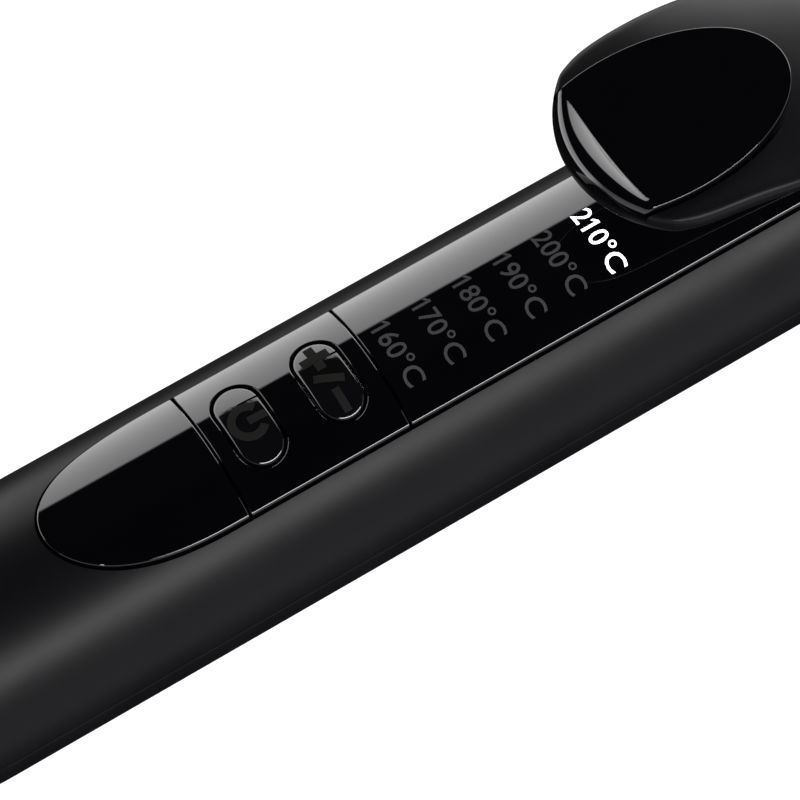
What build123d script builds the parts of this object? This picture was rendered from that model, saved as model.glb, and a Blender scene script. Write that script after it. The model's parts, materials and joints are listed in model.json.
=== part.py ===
"""Curling iron: a round handle with a glossy control panel, a heated barrel and a sprung thumb clamp.

Frame: millimetres, +X along the axis from the cord inlet to the cool tip, +Z up towards the panel.
The origin is the mouth of the cord inlet, on the axis.
"""
import os
from math import cos, radians, sin, sqrt

from build123d import *

# ---------------------------------------------------------------- driving dimensions
# Handle
TAIL_X = 8.0  # rear face of the shells
NECK_X = 166.0  # where the grip ends and the neck begins
NECK_LENGTH = 24.0
HANDLE_R = 17.0
TAIL_R = 10.5  # radius of the flat rear face
TAIL_LENGTH = 17.0  # length of the rounded rear end
SHELL_WALL = 2.2
NECK_R = 13.9
NECK_STEP = 2.0  # length of the cone from grip to neck
# Panel
PANEL_TIP_X = 41.5  # point of the rounded inlay
SEAM_1_X = 65.5  # inlay to button panel
SEAM_2_X = 89.2  # button panel to display lens
PANEL_SETBACK = 9.0  # from the lens's front end to the neck
PANEL_HALF_WIDTH = 10.0
PANEL_PROUD = 0.45
PANEL_THICK = 1.5
PANEL_GAP = 0.25
SEAM = 0.3
TIP_POWER = 1.4  # 2 is an ellipse, smaller is more pointed
TIP_STEPS = 10
# Keys
POWER_X = 71.3
ROCKER_X = 83.1
BUTTON_LENGTH = 6.1  # along X
BUTTON_WIDTH = 12.0  # along Y
BUTTON_GAP = 0.4
BUTTON_CROWN = 0.35  # how far a key stands above the panel
BUTTON_BOTTOM = 10.6
BUTTON_FLANGE = 0.7
FLANGE_HEIGHT = 1.0
KEY_WINDOW_GAP = 1.0
POWER_TRAVEL = 0.6
CRADLE_TOP_GAP = 0.4  # between the cradle and the shell over it
TRUNNION_R = 0.8
TRUNNION_WALL = 0.4
CRADLE_IN = 3.5  # from the rocker's centre line to the inner face of a cradle post
CRADLE_OUT = 5.0
CRADLE_WIDTH = 5.0
PUSHER_Y = 3.65
ROCKER_DROP = 0.3  # how far the rocker dips over its switch
RUN_FIT = 0.05
# Legends
LEGEND_X = 92.65
LEGEND_STEP = 6.13
LEGEND_COUNT = 6
LEGEND_HEIGHT = 3.2
LEGEND_LENGTH = 12.4
LEGEND_FILM = 0.15
WINDOW_LENGTH = 37.0
WINDOW_WIDTH = 14.4
WINDOW_GAP = 0.4
GUIDE_BOTTOM_Z = 8.5
# Board
BOARD_START_X = 38.0
BOARD_SETBACK = 19.0
BOARD_HALF_WIDTH = 11.5
BOARD_Z = 4.4
BOARD_THICK = 1.6
POST_R = 2.4
POST_Y = 8.0
POST_INSET = 7.0
BOARD_SCREW_R = 1.0
BOARD_SCREW_LENGTH = 6.0
BOARD_SCREW_HEAD_R = 1.9
BOARD_SCREW_HEAD_HEIGHT = 1.2
SWITCH_WIDTH = 4.5
PLUNGER_R = 1.2
PLUNGER_RISE = 0.8
LED = (2.0, 3.2, 1.0)
CAPACITOR = (15.0, 11.0, 9.0)
CAPACITOR_OFFSET = 18.0  # each offset is from the board's rear edge
TRIAC = (15.5, 10.0, 4.5)
TRIAC_OFFSET = 74.0
TRIAC_TAB = (4.5, 10.0, 1.3)
FUSE_OFFSET = 42.0
FUSE_R = 2.6
FUSE_LENGTH = 14.0
TERMINAL = (6.0, 9.0, 6.0)
TERMINAL_OFFSET = 3.5
TERMINAL_HOLE_R = 1.1
TERMINAL_HOLE_Y = 2.4
# Barrel
BARREL_LENGTH = 138.0  # with the root inside the handle
BARREL_R = 12.5
BARREL_WALL = 1.0
BARREL_ROOT = 6.0  # how deep the barrel sits in the handle
SOCKET_FLANGE = 3.6
SOCKET_LENGTH = 12.0
SOCKET_BORE_R = 8.0
COLLAR_LENGTH = 7.0
HEATER_SETBACK = 22.0
HEATER_LENGTH = 100.0
HEATER_GAP = 0.3
CERAMIC_WIDTH = 16.0
CERAMIC_THICK = 2.4
FILM = 0.2
SENSOR_R = 1.5
SENSOR_Z = 7.0
SENSOR_LENGTH = 12.0
THERMAL_FUSE_LENGTH = 14.0
SENSOR_OUT = 4.0  # how far the sensor and the thermal fuse stand out of the block
HEATER_TERMINAL_LENGTH = 7.0
TERMINAL_FIT = 0.5  # between the heater block and its terminal
CERAMIC_INSET = 3.0
FILM_INSET = 1.0
LEAD_R = 0.8
LEAD_Y = 5.5
LEAD_Z = 3.0
TIP_LENGTH = 22.0
TIP_PROUD = 0.7
TIP_SPIGOT = 12.0
TIP_DOME = 10.0
TIP_FACE_R = 5.0
TIP_SCREW_SUNK = 3.0
TIP_SCREW_LENGTH = 12.0
# Clamp
PIVOT_SETBACK = 15.0  # from the pivot to the handle's front face
PIVOT_Z = 4.0
PIN_R = 2.0
CLAMP_OPEN = 12.0  # degrees
MOVE_GAP = 0.3
LEVER_REACH = 55.0  # from the lever's tip to the pivot
PAD_INSET = 12.0  # from the lever's tip to the middle of the pad
PAD_LENGTH = 39.2
PAD_WIDTH = 22.6
PAD_RISE = 18.8  # from the grip's surface to the pad's top
PAD_THICK = 2.2
PAD_TIP_INSET = 0.4
PAD_DISH = 1.2
PAD_LIP = 0.7
PAD_LIP_WIDTH = 4.4
DISH_R = 130.0
LEVER_WALL = 2.2
LEVER_RISE = [(0.0, 17.9), (12.0, 17.9), (22.0, 17.2), (32.0, 15.9), (44.0, 12.4), (56.0, 6.9)]
LEVER_SKIRT_RISE = [(22.0, 12.6), (0.0, 14.7)]
LEVER_HALF_WIDTHS = [(0.0, 0.0), (2.9, 9.0), (6.0, 12.6), (10.0, 13.9), (18.0, 14.9), (26.0, 16.1)]
LEVER_WIDE_AT = 36.0
NOSE_ROUND = 12.0
NOSE_HALF_WIDTH = 13.5
NOSE_SHOULDER = 3.9
NOSE_TOP = 1.5
NOSE_BOTTOM_Z = 9.0
POCKET_HALF_WIDTH = 12.5
CHEEK_R = 7.0
CHEEK_RISE = 5.5
SWEEP_STEPS = 4
SPOON_SETBACK = 4.0
SPOON_ARC = 124.0
SPOON_THICK = 0.8
SPOON_LIP = 2.6
SPOON_LIFT = 0.4
RIVET_R = 1.4
RIVET_Y = 5.0
RIVET_LENGTH = 2.5
SPRING_WIRE_R = 0.6
SPRING_R = 3.2
SPRING_TURNS = 3.5
SPRING_PITCH = 1.5
SPRING_LEAN = 18.0  # degrees that the upper arm leans back
SPRING_ARM = 21.0
SPRING_LEG = 12.0
SPRING_SLOT_LENGTH = 9.0
SPRING_SLOT_WIDTH = 8.6
# Stand and foot
REST_DROP = 0.8  # how far the stand and the foot stand below the grip
STAND_THICK = 3.2
STAND_LENGTH = 43.5
STAND_WIDTH = 20.0
STAND_REACH = 5.5  # from the neck's start to the stand's pivot
STAND_PIN_R = 1.0
STAND_CORNER = 4.0
STAND_NOTCH_R = 4.5
KNUCKLE_R = 1.7
KNUCKLE_SUNK = 1.8
LUG_Y = 7.0
LUG_THICK = 3.0
TRAY_FLOOR = 1.6
FOOT_START_X = 27.0
FOOT_LENGTH = 12.0
FOOT_WIDTH = 10.0
FOOT_SUNK = 1.0
# Cord swivel
CORD_R = 3.5
SWIVEL_R = 6.0
SWIVEL_COLLAR_R = 9.5
SWIVEL_FLANGE_R = 8.0
SWIVEL_WALL = 2.4
STEM_R = 4.6
STEM_END_X = 26.0
RING_R = 5.6
RING_LENGTH = 2.0
RING_X = (18.5, 23.0)
FLANGE_THICK = 2.0
RETAINER_THICK = 1.6
BRUSH_HEIGHT = 2.0
# Shell screws
REAR_SCREW_X = 33.0
FRONT_SCREW_SETBACK = 14.0
SCREW_R = 1.25
SCREW_HEAD_R = 2.5
SCREW_HEAD_HEIGHT = 1.8
SCREW_HEAD_Z = -8.0
SCREW_LENGTH = 16.0
HEAD_GAP = 0.2
BOSS_R = 3.3
CROSS = (0.8, 3.4, 1.6)  # width, length and depth of a screw's cross slot

# ---------------------------------------------------------------- derived sizes and places
SHELL_IN = HANDLE_R - SHELL_WALL
ROCKER_AXIS_Z = SHELL_IN - CRADLE_TOP_GAP - TRUNNION_WALL - TRUNNION_R
NECK_IN = NECK_R - SHELL_WALL
FRONT_X = NECK_X + NECK_LENGTH
PANEL_R = HANDLE_R + PANEL_PROUD
PANEL_FLOOR_R = PANEL_R - PANEL_THICK
PANEL_END_X = NECK_X - PANEL_SETBACK
BUTTON_TOP_R = PANEL_R + BUTTON_CROWN
BOARD_END_X = NECK_X - BOARD_SETBACK
BOARD_MID_X = (BOARD_START_X + BOARD_END_X) / 2
BOARD_TOP = BOARD_Z + BOARD_THICK
BOARD_POSTS = [
    (x, y)
    for x in (BOARD_START_X + POST_INSET, BOARD_END_X - POST_INSET)
    for y in (-POST_Y, POST_Y)
]
TAB_X = BOARD_START_X + TRIAC_OFFSET - (TRIAC[0] + TRIAC_TAB[0]) / 2
TERMINAL_X = BOARD_START_X + TERMINAL_OFFSET
SWITCH_TOP = BUTTON_BOTTOM - POWER_TRAVEL - MOVE_GAP
BARREL_X = FRONT_X - BARREL_ROOT
BARREL_END_X = BARREL_X + BARREL_LENGTH
BARREL_IN = BARREL_R - BARREL_WALL
SOCKET_X = BARREL_X - SOCKET_FLANGE
TIP_END_X = BARREL_END_X + TIP_LENGTH
TIP_R = BARREL_R + TIP_PROUD
HEATER_X = BARREL_X + HEATER_SETBACK
HEATER_MID_X = HEATER_X + HEATER_LENGTH / 2
HEATER_R = BARREL_IN - HEATER_GAP
LEAD_X = BOARD_END_X + 1.0
LEAD_END_X = HEATER_X - TERMINAL_FIT - HEATER_TERMINAL_LENGTH
PIVOT_X = FRONT_X - PIVOT_SETBACK
CHEEK_IN = NECK_R + MOVE_GAP
CHEEK_OUT = HANDLE_R - 0.1
CHEEK_TOP_Z = HANDLE_R + CHEEK_RISE
COLLAR_R = NECK_R
COLLAR_END_X = FRONT_X + COLLAR_LENGTH
SPOON_IN = BARREL_R + MOVE_GAP
SPOON_ROOT_IN = COLLAR_R + SPOON_LIFT
SPOON_ROOT_OUT = SPOON_ROOT_IN + SPOON_THICK
SPOON_END_X = BARREL_END_X - SPOON_SETBACK
RIVET_X = FRONT_X
RIVET_BOTTOM_Z = sqrt(SPOON_ROOT_IN**2 - (RIVET_Y - RIVET_R) ** 2) + 0.06
RIVET_TOP_Z = RIVET_BOTTOM_Z + RIVET_LENGTH
NOSE_X = COLLAR_END_X
LEVER_TIP_X = PIVOT_X - LEVER_REACH
LEVER_TOP = [(LEVER_TIP_X + along, HANDLE_R + rise) for along, rise in LEVER_RISE]
LEVER_TOP.append((PIVOT_X + LEVER_WALL + 9.8, SPOON_ROOT_OUT + NOSE_SHOULDER))
LEVER_TOP.append((NOSE_X, SPOON_ROOT_OUT + NOSE_TOP))
LEVER_SKIRT = [(LEVER_TIP_X + along, HANDLE_R + rise) for along, rise in LEVER_SKIRT_RISE]
LEVER_PLAN = [(LEVER_TIP_X + along, half) for along, half in LEVER_HALF_WIDTHS]
LEVER_PLAN.append((LEVER_TIP_X + LEVER_WIDE_AT, CHEEK_OUT))
PAD_X = LEVER_TIP_X + PAD_INSET
PAD_TOP_Z = HANDLE_R + PAD_RISE
SPRING_LENGTH = SPRING_TURNS * SPRING_PITCH
REST_Z = -HANDLE_R - REST_DROP
STAND_PIVOT_X = NECK_X + STAND_REACH
STAND_PIVOT_Z = REST_Z + KNUCKLE_SUNK
STAND_BACK_X = STAND_PIVOT_X - STAND_LENGTH
LUG_TOP_Z = -sqrt(NECK_R**2 - (LUG_Y + LUG_THICK / 2) ** 2)
LUG_HEIGHT = LUG_TOP_Z - STAND_PIVOT_Z
TRAY_TOP = REST_Z + STAND_THICK + MOVE_GAP
TRAY_HALF = sqrt(SHELL_IN**2 - TRAY_TOP**2) + 1.5
FOOT_MID_X = FOOT_START_X + FOOT_LENGTH / 2
COLLAR_BACK_X = TAIL_X - MOVE_GAP
FLANGE_X = TAIL_X + SWIVEL_WALL + MOVE_GAP
STEM_X = FLANGE_X + FLANGE_THICK + 3.2
SCREW_X = (REAR_SCREW_X, NECK_X - FRONT_SCREW_SETBACK)
WINDOW_X = LEGEND_X + LEGEND_STEP * (LEGEND_COUNT - 1) / 2 + 1.5
WHOLE = 400.0  # longer than anything here
STANDING = (Align.CENTER, Align.CENTER, Align.MIN)
HANGING = (Align.CENTER, Align.CENTER, Align.MAX)

os.makedirs("parts", exist_ok=True)


def save(builder, label):
    """Name a finished piece and write it."""
    builder.part.label = label
    export_step(builder.part, "parts/" + label + ".step")


def tongue(seam_x, half_width, tip_x):
    """Half-outline points of the rounded inlay, from the seam to the point."""
    points = []
    for i in range(TIP_STEPS + 1):
        t = radians(90 - 90 * i / TIP_STEPS)
        across = half_width * sin(t)
        along = seam_x - (seam_x - tip_x) * cos(t) ** (TIP_POWER / 2)
        points.append((along, across))
    return points


def panel_plan(grow, start_x, end_x):
    """Plan outline of the panel between two stations, grown sideways and past its point."""
    points = tongue(SEAM_1_X, PANEL_HALF_WIDTH + grow, PANEL_TIP_X - grow)
    with BuildSketch(Plane.XY) as plan:
        with BuildLine():
            Spline(*points, tangents=((-1, 0), (0, -1)))
            Line((points[0][0], points[0][1]), (PANEL_END_X + grow, points[0][1]))
            Line((PANEL_END_X + grow, points[0][1]), (PANEL_END_X + grow, 0))
            Line((PANEL_END_X + grow, 0), (points[-1][0], 0))
        make_face()
        mirror(about=Plane.XZ)
        with Locations(((start_x + end_x) / 2, 0)):
            Rectangle(end_x - start_x, 4 * PANEL_HALF_WIDTH, mode=Mode.INTERSECT)
    return plan.sketch


def curved_block(plan, inner_r, outer_r):
    """A plan outline raised between two radii about the handle's axis, on the panel side."""
    with BuildPart() as block:
        add(plan)
        extrude(amount=outer_r + 1)
        with Locations(Location((WHOLE / 2, 0, 0), (0, 90, 0))):
            Cylinder(outer_r, WHOLE, mode=Mode.INTERSECT)
            Cylinder(inner_r, WHOLE, mode=Mode.SUBTRACT)
    return block.part


def key_plan(centre_x, grow):
    """Plan outline of a round-ended key, grown all round."""
    with BuildSketch(Plane.XY) as plan:
        with Locations((centre_x, 0)):
            SlotOverall(BUTTON_WIDTH + 2 * grow, BUTTON_LENGTH + 2 * grow, rotation=90)
    return plan.sketch


def along_x(x):
    """Location of a cylinder centred on the axis at a station, lying along X."""
    return Location((x, 0, 0), (0, 90, 0))


# ---------------------------------------------------------------- handle shells
with BuildPart() as handle_solid:
    with BuildSketch(Plane.XZ):
        with BuildLine():
            Line((TAIL_X, 0), (TAIL_X, TAIL_R))
            Spline(
                (TAIL_X, TAIL_R),
                (TAIL_X + TAIL_LENGTH, HANDLE_R),
                tangents=((0.25, 1), (1, 0)),
            )
            Polyline(
                (TAIL_X + TAIL_LENGTH, HANDLE_R),
                (NECK_X - NECK_STEP, HANDLE_R),
                (NECK_X, NECK_R),
                (FRONT_X, NECK_R),
                (FRONT_X, 0),
                (TAIL_X, 0),
            )
        make_face()
    revolve(axis=Axis.X)

with BuildPart() as handle_cavity:
    with BuildSketch(Plane.XZ):
        with BuildLine():
            Line((TAIL_X + SWIVEL_WALL, 0), (TAIL_X + SWIVEL_WALL, TAIL_R - 1.0))
            Spline(
                (TAIL_X + SWIVEL_WALL, TAIL_R - 1.0),
                (TAIL_X + TAIL_LENGTH + 1.0, SHELL_IN),
                tangents=((0.5, 1), (1, 0)),
            )
            Polyline(
                (TAIL_X + TAIL_LENGTH + 1.0, SHELL_IN),
                (NECK_X - NECK_STEP - SHELL_WALL, SHELL_IN),
                (NECK_X - SHELL_WALL, NECK_IN),
                (SOCKET_X, NECK_IN),
                (SOCKET_X, BARREL_R),
                (FRONT_X, BARREL_R),
                (FRONT_X, 0),
                (TAIL_X + SWIVEL_WALL, 0),
            )
        make_face()
    revolve(axis=Axis.X)

with BuildPart() as shell_body:
    add(handle_solid.part)
    add(handle_cavity.part, mode=Mode.SUBTRACT)
    with Locations(along_x(TAIL_X)):
        Cylinder(SWIVEL_R + RUN_FIT, 4 * SWIVEL_WALL, mode=Mode.SUBTRACT)
    with Locations(Location((PIVOT_X, 0, PIVOT_Z), (90, 0, 0))):
        Cylinder(PIN_R, 4 * HANDLE_R, mode=Mode.SUBTRACT)

panel_pocket = curved_block(
    panel_plan(PANEL_GAP, PANEL_TIP_X - 1, PANEL_END_X + 1), PANEL_FLOOR_R, PANEL_R + 1
)

with BuildPart() as handle_upper_shell:
    add(shell_body.part)
    split(bisect_by=Plane.XY, keep=Keep.TOP)
    add(panel_pocket, mode=Mode.SUBTRACT)
    for button_x in (POWER_X, ROCKER_X):
        with BuildSketch(Plane.XY.offset(SHELL_IN / 2)):
            add(key_plan(button_x, KEY_WINDOW_GAP))
        extrude(amount=HANDLE_R, mode=Mode.SUBTRACT)
    with BuildSketch(Plane.XY.offset(SHELL_IN / 2)):
        with Locations((WINDOW_X, 0)):
            Rectangle(WINDOW_LENGTH, WINDOW_WIDTH)
    extrude(amount=HANDLE_R, mode=Mode.SUBTRACT)
    with BuildSketch(Plane.XY.offset(NECK_IN / 2)):
        with Locations((PIVOT_X - SPRING_SLOT_LENGTH / 2, 0)):
            Rectangle(SPRING_SLOT_LENGTH, SPRING_SLOT_WIDTH)
    extrude(amount=HANDLE_R, mode=Mode.SUBTRACT)
    for screw_x in SCREW_X:
        with BuildSketch(Plane.XY):
            with Locations((screw_x, 0)):
                Circle(BOSS_R)
        extrude(amount=SHELL_IN + 0.3)
        with BuildSketch(Plane.XY):
            with Locations((screw_x, 0)):
                Circle(SCREW_R)
        extrude(amount=SCREW_HEAD_Z + SCREW_LENGTH, mode=Mode.SUBTRACT)


with BuildPart() as lower_posts:
    for screw_x in SCREW_X:
        with BuildSketch(Plane.XY):
            with Locations((screw_x, 0)):
                Circle(BOSS_R)
        extrude(amount=-HANDLE_R)
    for post in BOARD_POSTS:
        with BuildSketch(Plane.XY.offset(BOARD_Z)):
            with Locations(post):
                Circle(POST_R)
        extrude(amount=-BOARD_Z - HANDLE_R)
        with BuildSketch(Plane.XY.offset(BOARD_Z)):
            with Locations(post):
                Circle(BOARD_SCREW_R)
        extrude(amount=-BOARD_SCREW_LENGTH, mode=Mode.SUBTRACT)
    add(handle_solid.part, mode=Mode.INTERSECT)

with BuildPart() as handle_lower_shell:
    add(shell_body.part)
    split(bisect_by=Plane.XY, keep=Keep.BOTTOM)
    add(lower_posts.part)
    with Locations(((STAND_BACK_X + NECK_X - NECK_STEP) / 2 - 1, 0, TRAY_TOP + TRAY_FLOOR / 2)):
        Box(NECK_X - NECK_STEP - STAND_BACK_X + 2, 2 * TRAY_HALF, TRAY_FLOOR)
    with Locations(((STAND_BACK_X + NECK_X) / 2, 0, TRAY_TOP)):
        Box(
            NECK_X - STAND_BACK_X + 2 * MOVE_GAP,
            WHOLE,
            STAND_THICK * 3,
            align=HANGING,
            mode=Mode.SUBTRACT,
        )
    with Locations((FOOT_MID_X, 0, -HANDLE_R)):
        Box(FOOT_LENGTH, FOOT_WIDTH, 2 * FOOT_SUNK, mode=Mode.SUBTRACT)
    for screw_x in SCREW_X:
        with BuildSketch(Plane.XY):
            with Locations((screw_x, 0)):
                Circle(SCREW_R)
        extrude(amount=-HANDLE_R - 1, mode=Mode.SUBTRACT)
        with BuildSketch(Plane.XY.offset(SCREW_HEAD_Z)):
            with Locations((screw_x, 0)):
                Circle(SCREW_HEAD_R + HEAD_GAP)
        extrude(amount=-HANDLE_R, mode=Mode.SUBTRACT)
    for side in (-1, 1):
        with BuildSketch(Plane.XZ.offset(side * LUG_Y)):
            with Locations((STAND_PIVOT_X, STAND_PIVOT_Z)):
                Circle(KNUCKLE_R)
            with Locations((STAND_PIVOT_X, STAND_PIVOT_Z + LUG_HEIGHT / 2)):
                Rectangle(2 * KNUCKLE_R, LUG_HEIGHT)
        extrude(amount=LUG_THICK / 2, both=True)
    with Locations(Location((STAND_PIVOT_X, 0, STAND_PIVOT_Z), (90, 0, 0))):
        Cylinder(STAND_PIN_R, WHOLE, mode=Mode.SUBTRACT)
save(handle_upper_shell, "handle_upper_shell")
save(handle_lower_shell, "handle_lower_shell")

# ---------------------------------------------------------------- rear end: cord swivel
with BuildPart() as cord_swivel:
    with BuildSketch(Plane.XZ):
        with BuildLine():
            Line((0, CORD_R), (0, 6.0))
            RadiusArc((0, 6.0), (COLLAR_BACK_X - 1.0, SWIVEL_COLLAR_R), 9.0)
            Polyline(
                (COLLAR_BACK_X - 1.0, SWIVEL_COLLAR_R),
                (COLLAR_BACK_X, SWIVEL_COLLAR_R - 0.4),
                (COLLAR_BACK_X, SWIVEL_R),
                (FLANGE_X, SWIVEL_R),
                (FLANGE_X, SWIVEL_FLANGE_R),
                (FLANGE_X + FLANGE_THICK, SWIVEL_FLANGE_R),
                (FLANGE_X + FLANGE_THICK, SWIVEL_R),
                (STEM_X, SWIVEL_R),
                (STEM_X, STEM_R),
                (STEM_END_X, STEM_R),
                (STEM_END_X, CORD_R),
                (0, CORD_R),
            )
        make_face()
    revolve(axis=Axis.X)
save(cord_swivel, "cord_swivel")

with BuildPart() as contact_rings:
    for ring_x in RING_X:
        with Locations(along_x(ring_x)):
            Cylinder(RING_R, RING_LENGTH)
            Cylinder(STEM_R, RING_LENGTH, mode=Mode.SUBTRACT)
save(contact_rings, "contact_rings")

with BuildPart() as swivel_retainer:
    with Locations(along_x(FLANGE_X + FLANGE_THICK + MOVE_GAP + RETAINER_THICK / 2)):
        Cylinder(SHELL_IN, RETAINER_THICK)
        Cylinder(SWIVEL_R + MOVE_GAP, RETAINER_THICK, mode=Mode.SUBTRACT)
    add(handle_cavity.part, mode=Mode.INTERSECT)
save(swivel_retainer, "swivel_retainer")

with BuildPart() as brush_block:
    with Locations((sum(RING_X) / 2, 0, RING_R + MOVE_GAP + BRUSH_HEIGHT)):
        Box(9.0, 6.0, 5.5, align=STANDING)
    chamfer(brush_block.edges().filter_by(Axis.Z), 0.6)
save(brush_block, "brush_block")

with BuildPart() as contact_brushes:
    for ring_x in RING_X:
        with Locations((ring_x, 0, RING_R + MOVE_GAP)):
            Box(1.0, 2.4, BRUSH_HEIGHT, align=STANDING)
save(contact_brushes, "contact_brushes")

with BuildPart() as rear_foot:
    with BuildSketch(Plane.XY.offset(REST_Z)):
        with Locations((FOOT_MID_X, 0)):
            RectangleRounded(FOOT_LENGTH - HEAD_GAP, FOOT_WIDTH - HEAD_GAP, 2.0)
    extrude(amount=FOOT_SUNK - HANDLE_R - REST_Z)
    chamfer(rear_foot.faces().sort_by(Axis.Z)[0].edges(), 0.4)
save(rear_foot, "rear_foot")

# ---------------------------------------------------------------- panel
tail_inlay = curved_block(
    panel_plan(0, PANEL_TIP_X - 1, SEAM_1_X - SEAM / 2), PANEL_FLOOR_R, PANEL_R
)
button_blank = curved_block(
    panel_plan(0, SEAM_1_X + SEAM / 2, SEAM_2_X - SEAM / 2), PANEL_FLOOR_R, PANEL_R
)
lens_blank = curved_block(
    panel_plan(0, SEAM_2_X + SEAM / 2, PANEL_END_X), PANEL_FLOOR_R, PANEL_R
)

with BuildPart() as tail_inlay_part:
    add(tail_inlay)
save(tail_inlay_part, "tail_inlay")

with BuildPart() as button_panel:
    add(button_blank)
    for button_x in (POWER_X, ROCKER_X):
        add(key_plan(button_x, BUTTON_GAP))
        extrude(amount=WHOLE, mode=Mode.SUBTRACT)
save(button_panel, "button_panel")


def legend(index):
    """Printed window of one temperature legend, on the film under the lens."""
    with BuildSketch(Plane.XY) as window:
        with Locations((LEGEND_X + LEGEND_STEP * index, 0)):
            RectangleRounded(LEGEND_HEIGHT, LEGEND_LENGTH, 0.5)
    return curved_block(window.sketch, PANEL_FLOOR_R - LEGEND_FILM, PANEL_FLOOR_R)


with BuildPart() as legend_dim:
    for index in range(LEGEND_COUNT - 1):
        add(legend(index))
save(legend_dim, "legend_dim")

with BuildPart() as legend_lit:
    add(legend(LEGEND_COUNT - 1))
save(legend_lit, "legend_lit")

with BuildPart() as display_lens:
    add(lens_blank)
save(display_lens, "display_lens")

# ---------------------------------------------------------------- buttons
def button_head(centre_x):
    """The round-ended key: flat underneath, crowned on top about the handle's axis."""
    with BuildPart() as head:
        with BuildSketch(Plane.XY.offset(BUTTON_BOTTOM)):
            add(key_plan(centre_x, 0))
        extrude(amount=BUTTON_TOP_R)
        with Locations(along_x(centre_x)):
            Cylinder(BUTTON_TOP_R, WHOLE, mode=Mode.INTERSECT)
    return head.part


with BuildPart() as power_button:
    add(button_head(POWER_X))
    with BuildSketch(Plane.XY.offset(BUTTON_BOTTOM)):
        add(key_plan(POWER_X, BUTTON_FLANGE))
    extrude(amount=FLANGE_HEIGHT)
save(power_button, "power_button")

with BuildPart() as temperature_button:
    add(button_head(ROCKER_X))
    with Locations(Location((ROCKER_X, 0, ROCKER_AXIS_Z), (0, 90, 0))):
        Cylinder(TRUNNION_R, 2 * CRADLE_OUT)
save(temperature_button, "temperature_button")

with BuildPart() as rocker_cradle:
    for side in (-1, 1):
        with Locations((ROCKER_X + side * (CRADLE_IN + CRADLE_OUT) / 2, 0, BOARD_TOP)):
            Box(
                CRADLE_OUT - CRADLE_IN,
                CRADLE_WIDTH,
                ROCKER_AXIS_Z + TRUNNION_R + TRUNNION_WALL - BOARD_TOP,
                align=STANDING,
            )
    with Locations(Location((ROCKER_X, 0, ROCKER_AXIS_Z), (0, 90, 0))):
        Cylinder(TRUNNION_R + RUN_FIT, WHOLE / 4, mode=Mode.SUBTRACT)
save(rocker_cradle, "rocker_cradle")

# ---------------------------------------------------------------- board
with BuildPart() as control_board:
    with Locations((BOARD_MID_X, 0, BOARD_Z + BOARD_THICK / 2)):
        Box(BOARD_END_X - BOARD_START_X, 2 * BOARD_HALF_WIDTH, BOARD_THICK)
    fillet(control_board.edges().filter_by(Axis.Z), 1.5)
    for post in BOARD_POSTS:
        with Locations((post[0], post[1], BOARD_TOP)):
            Hole(BOARD_SCREW_R)
save(control_board, "control_board")

with BuildPart() as board_screws:
    for post in BOARD_POSTS:
        with Locations((post[0], post[1], BOARD_TOP)):
            Cylinder(BOARD_SCREW_HEAD_R, BOARD_SCREW_HEAD_HEIGHT, align=STANDING)
            Cylinder(BOARD_SCREW_R, BOARD_SCREW_LENGTH + BOARD_THICK, align=HANGING)
save(board_screws, "board_screws")


def tact_switch(name, x, y, top):
    """A small push switch on the board, with its round plunger."""
    with BuildPart() as switch:
        with Locations((x, y, BOARD_TOP)):
            Box(SWITCH_WIDTH, SWITCH_WIDTH, top - BOARD_TOP - PLUNGER_RISE, align=STANDING)
            Cylinder(PLUNGER_R, top - BOARD_TOP, align=STANDING)
    save(switch, name)


tact_switch("power_switch", POWER_X, 0, SWITCH_TOP)
tact_switch("plus_switch", ROCKER_X, PUSHER_Y, SWITCH_TOP - ROCKER_DROP)
tact_switch("minus_switch", ROCKER_X, -PUSHER_Y, SWITCH_TOP - ROCKER_DROP)

with BuildPart() as light_guide:
    with Locations((WINDOW_X, 0, GUIDE_BOTTOM_Z)):
        Box(
            WINDOW_LENGTH - WINDOW_GAP,
            WINDOW_WIDTH - WINDOW_GAP,
            HANDLE_R,
            align=STANDING,
        )
    with Locations(along_x(WINDOW_X)):
        Cylinder(PANEL_FLOOR_R - LEGEND_FILM, WHOLE, mode=Mode.INTERSECT)
save(light_guide, "light_guide")

with BuildPart() as legend_leds:
    for index in range(LEGEND_COUNT):
        with Locations((LEGEND_X + LEGEND_STEP * index, 0, BOARD_TOP)):
            Box(*LED, align=STANDING)
save(legend_leds, "legend_leds")

with BuildPart() as filter_capacitor:
    with Locations((BOARD_START_X + CAPACITOR_OFFSET, 0, BOARD_Z)):
        Box(*CAPACITOR, align=HANGING)
    chamfer(filter_capacitor.edges(), 0.4)
save(filter_capacitor, "filter_capacitor")

with BuildPart() as triac:
    with Locations((BOARD_START_X + TRIAC_OFFSET, 0, BOARD_Z)):
        Box(*TRIAC, align=HANGING)
    with Locations((TAB_X, 0, BOARD_Z - TRIAC_TAB[2])):
        Box(*TRIAC_TAB)
save(triac, "triac")

with BuildPart() as board_fuse:
    with Locations(Location((BOARD_START_X + FUSE_OFFSET, 0, BOARD_Z - FUSE_R), (0, 90, 0))):
        Cylinder(FUSE_R, FUSE_LENGTH)
save(board_fuse, "board_fuse")

with BuildPart() as cord_terminal:
    with Locations((TERMINAL_X, 0, BOARD_TOP)):
        Box(*TERMINAL, align=STANDING)
    for side in (-1, 1):
        hole = Location((TERMINAL_X, side * TERMINAL_HOLE_Y, BOARD_TOP + TERMINAL[2] / 2), (0, 90, 0))
        with Locations(hole):
            Cylinder(TERMINAL_HOLE_R, TERMINAL[0], mode=Mode.SUBTRACT)
save(cord_terminal, "cord_terminal")

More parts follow.
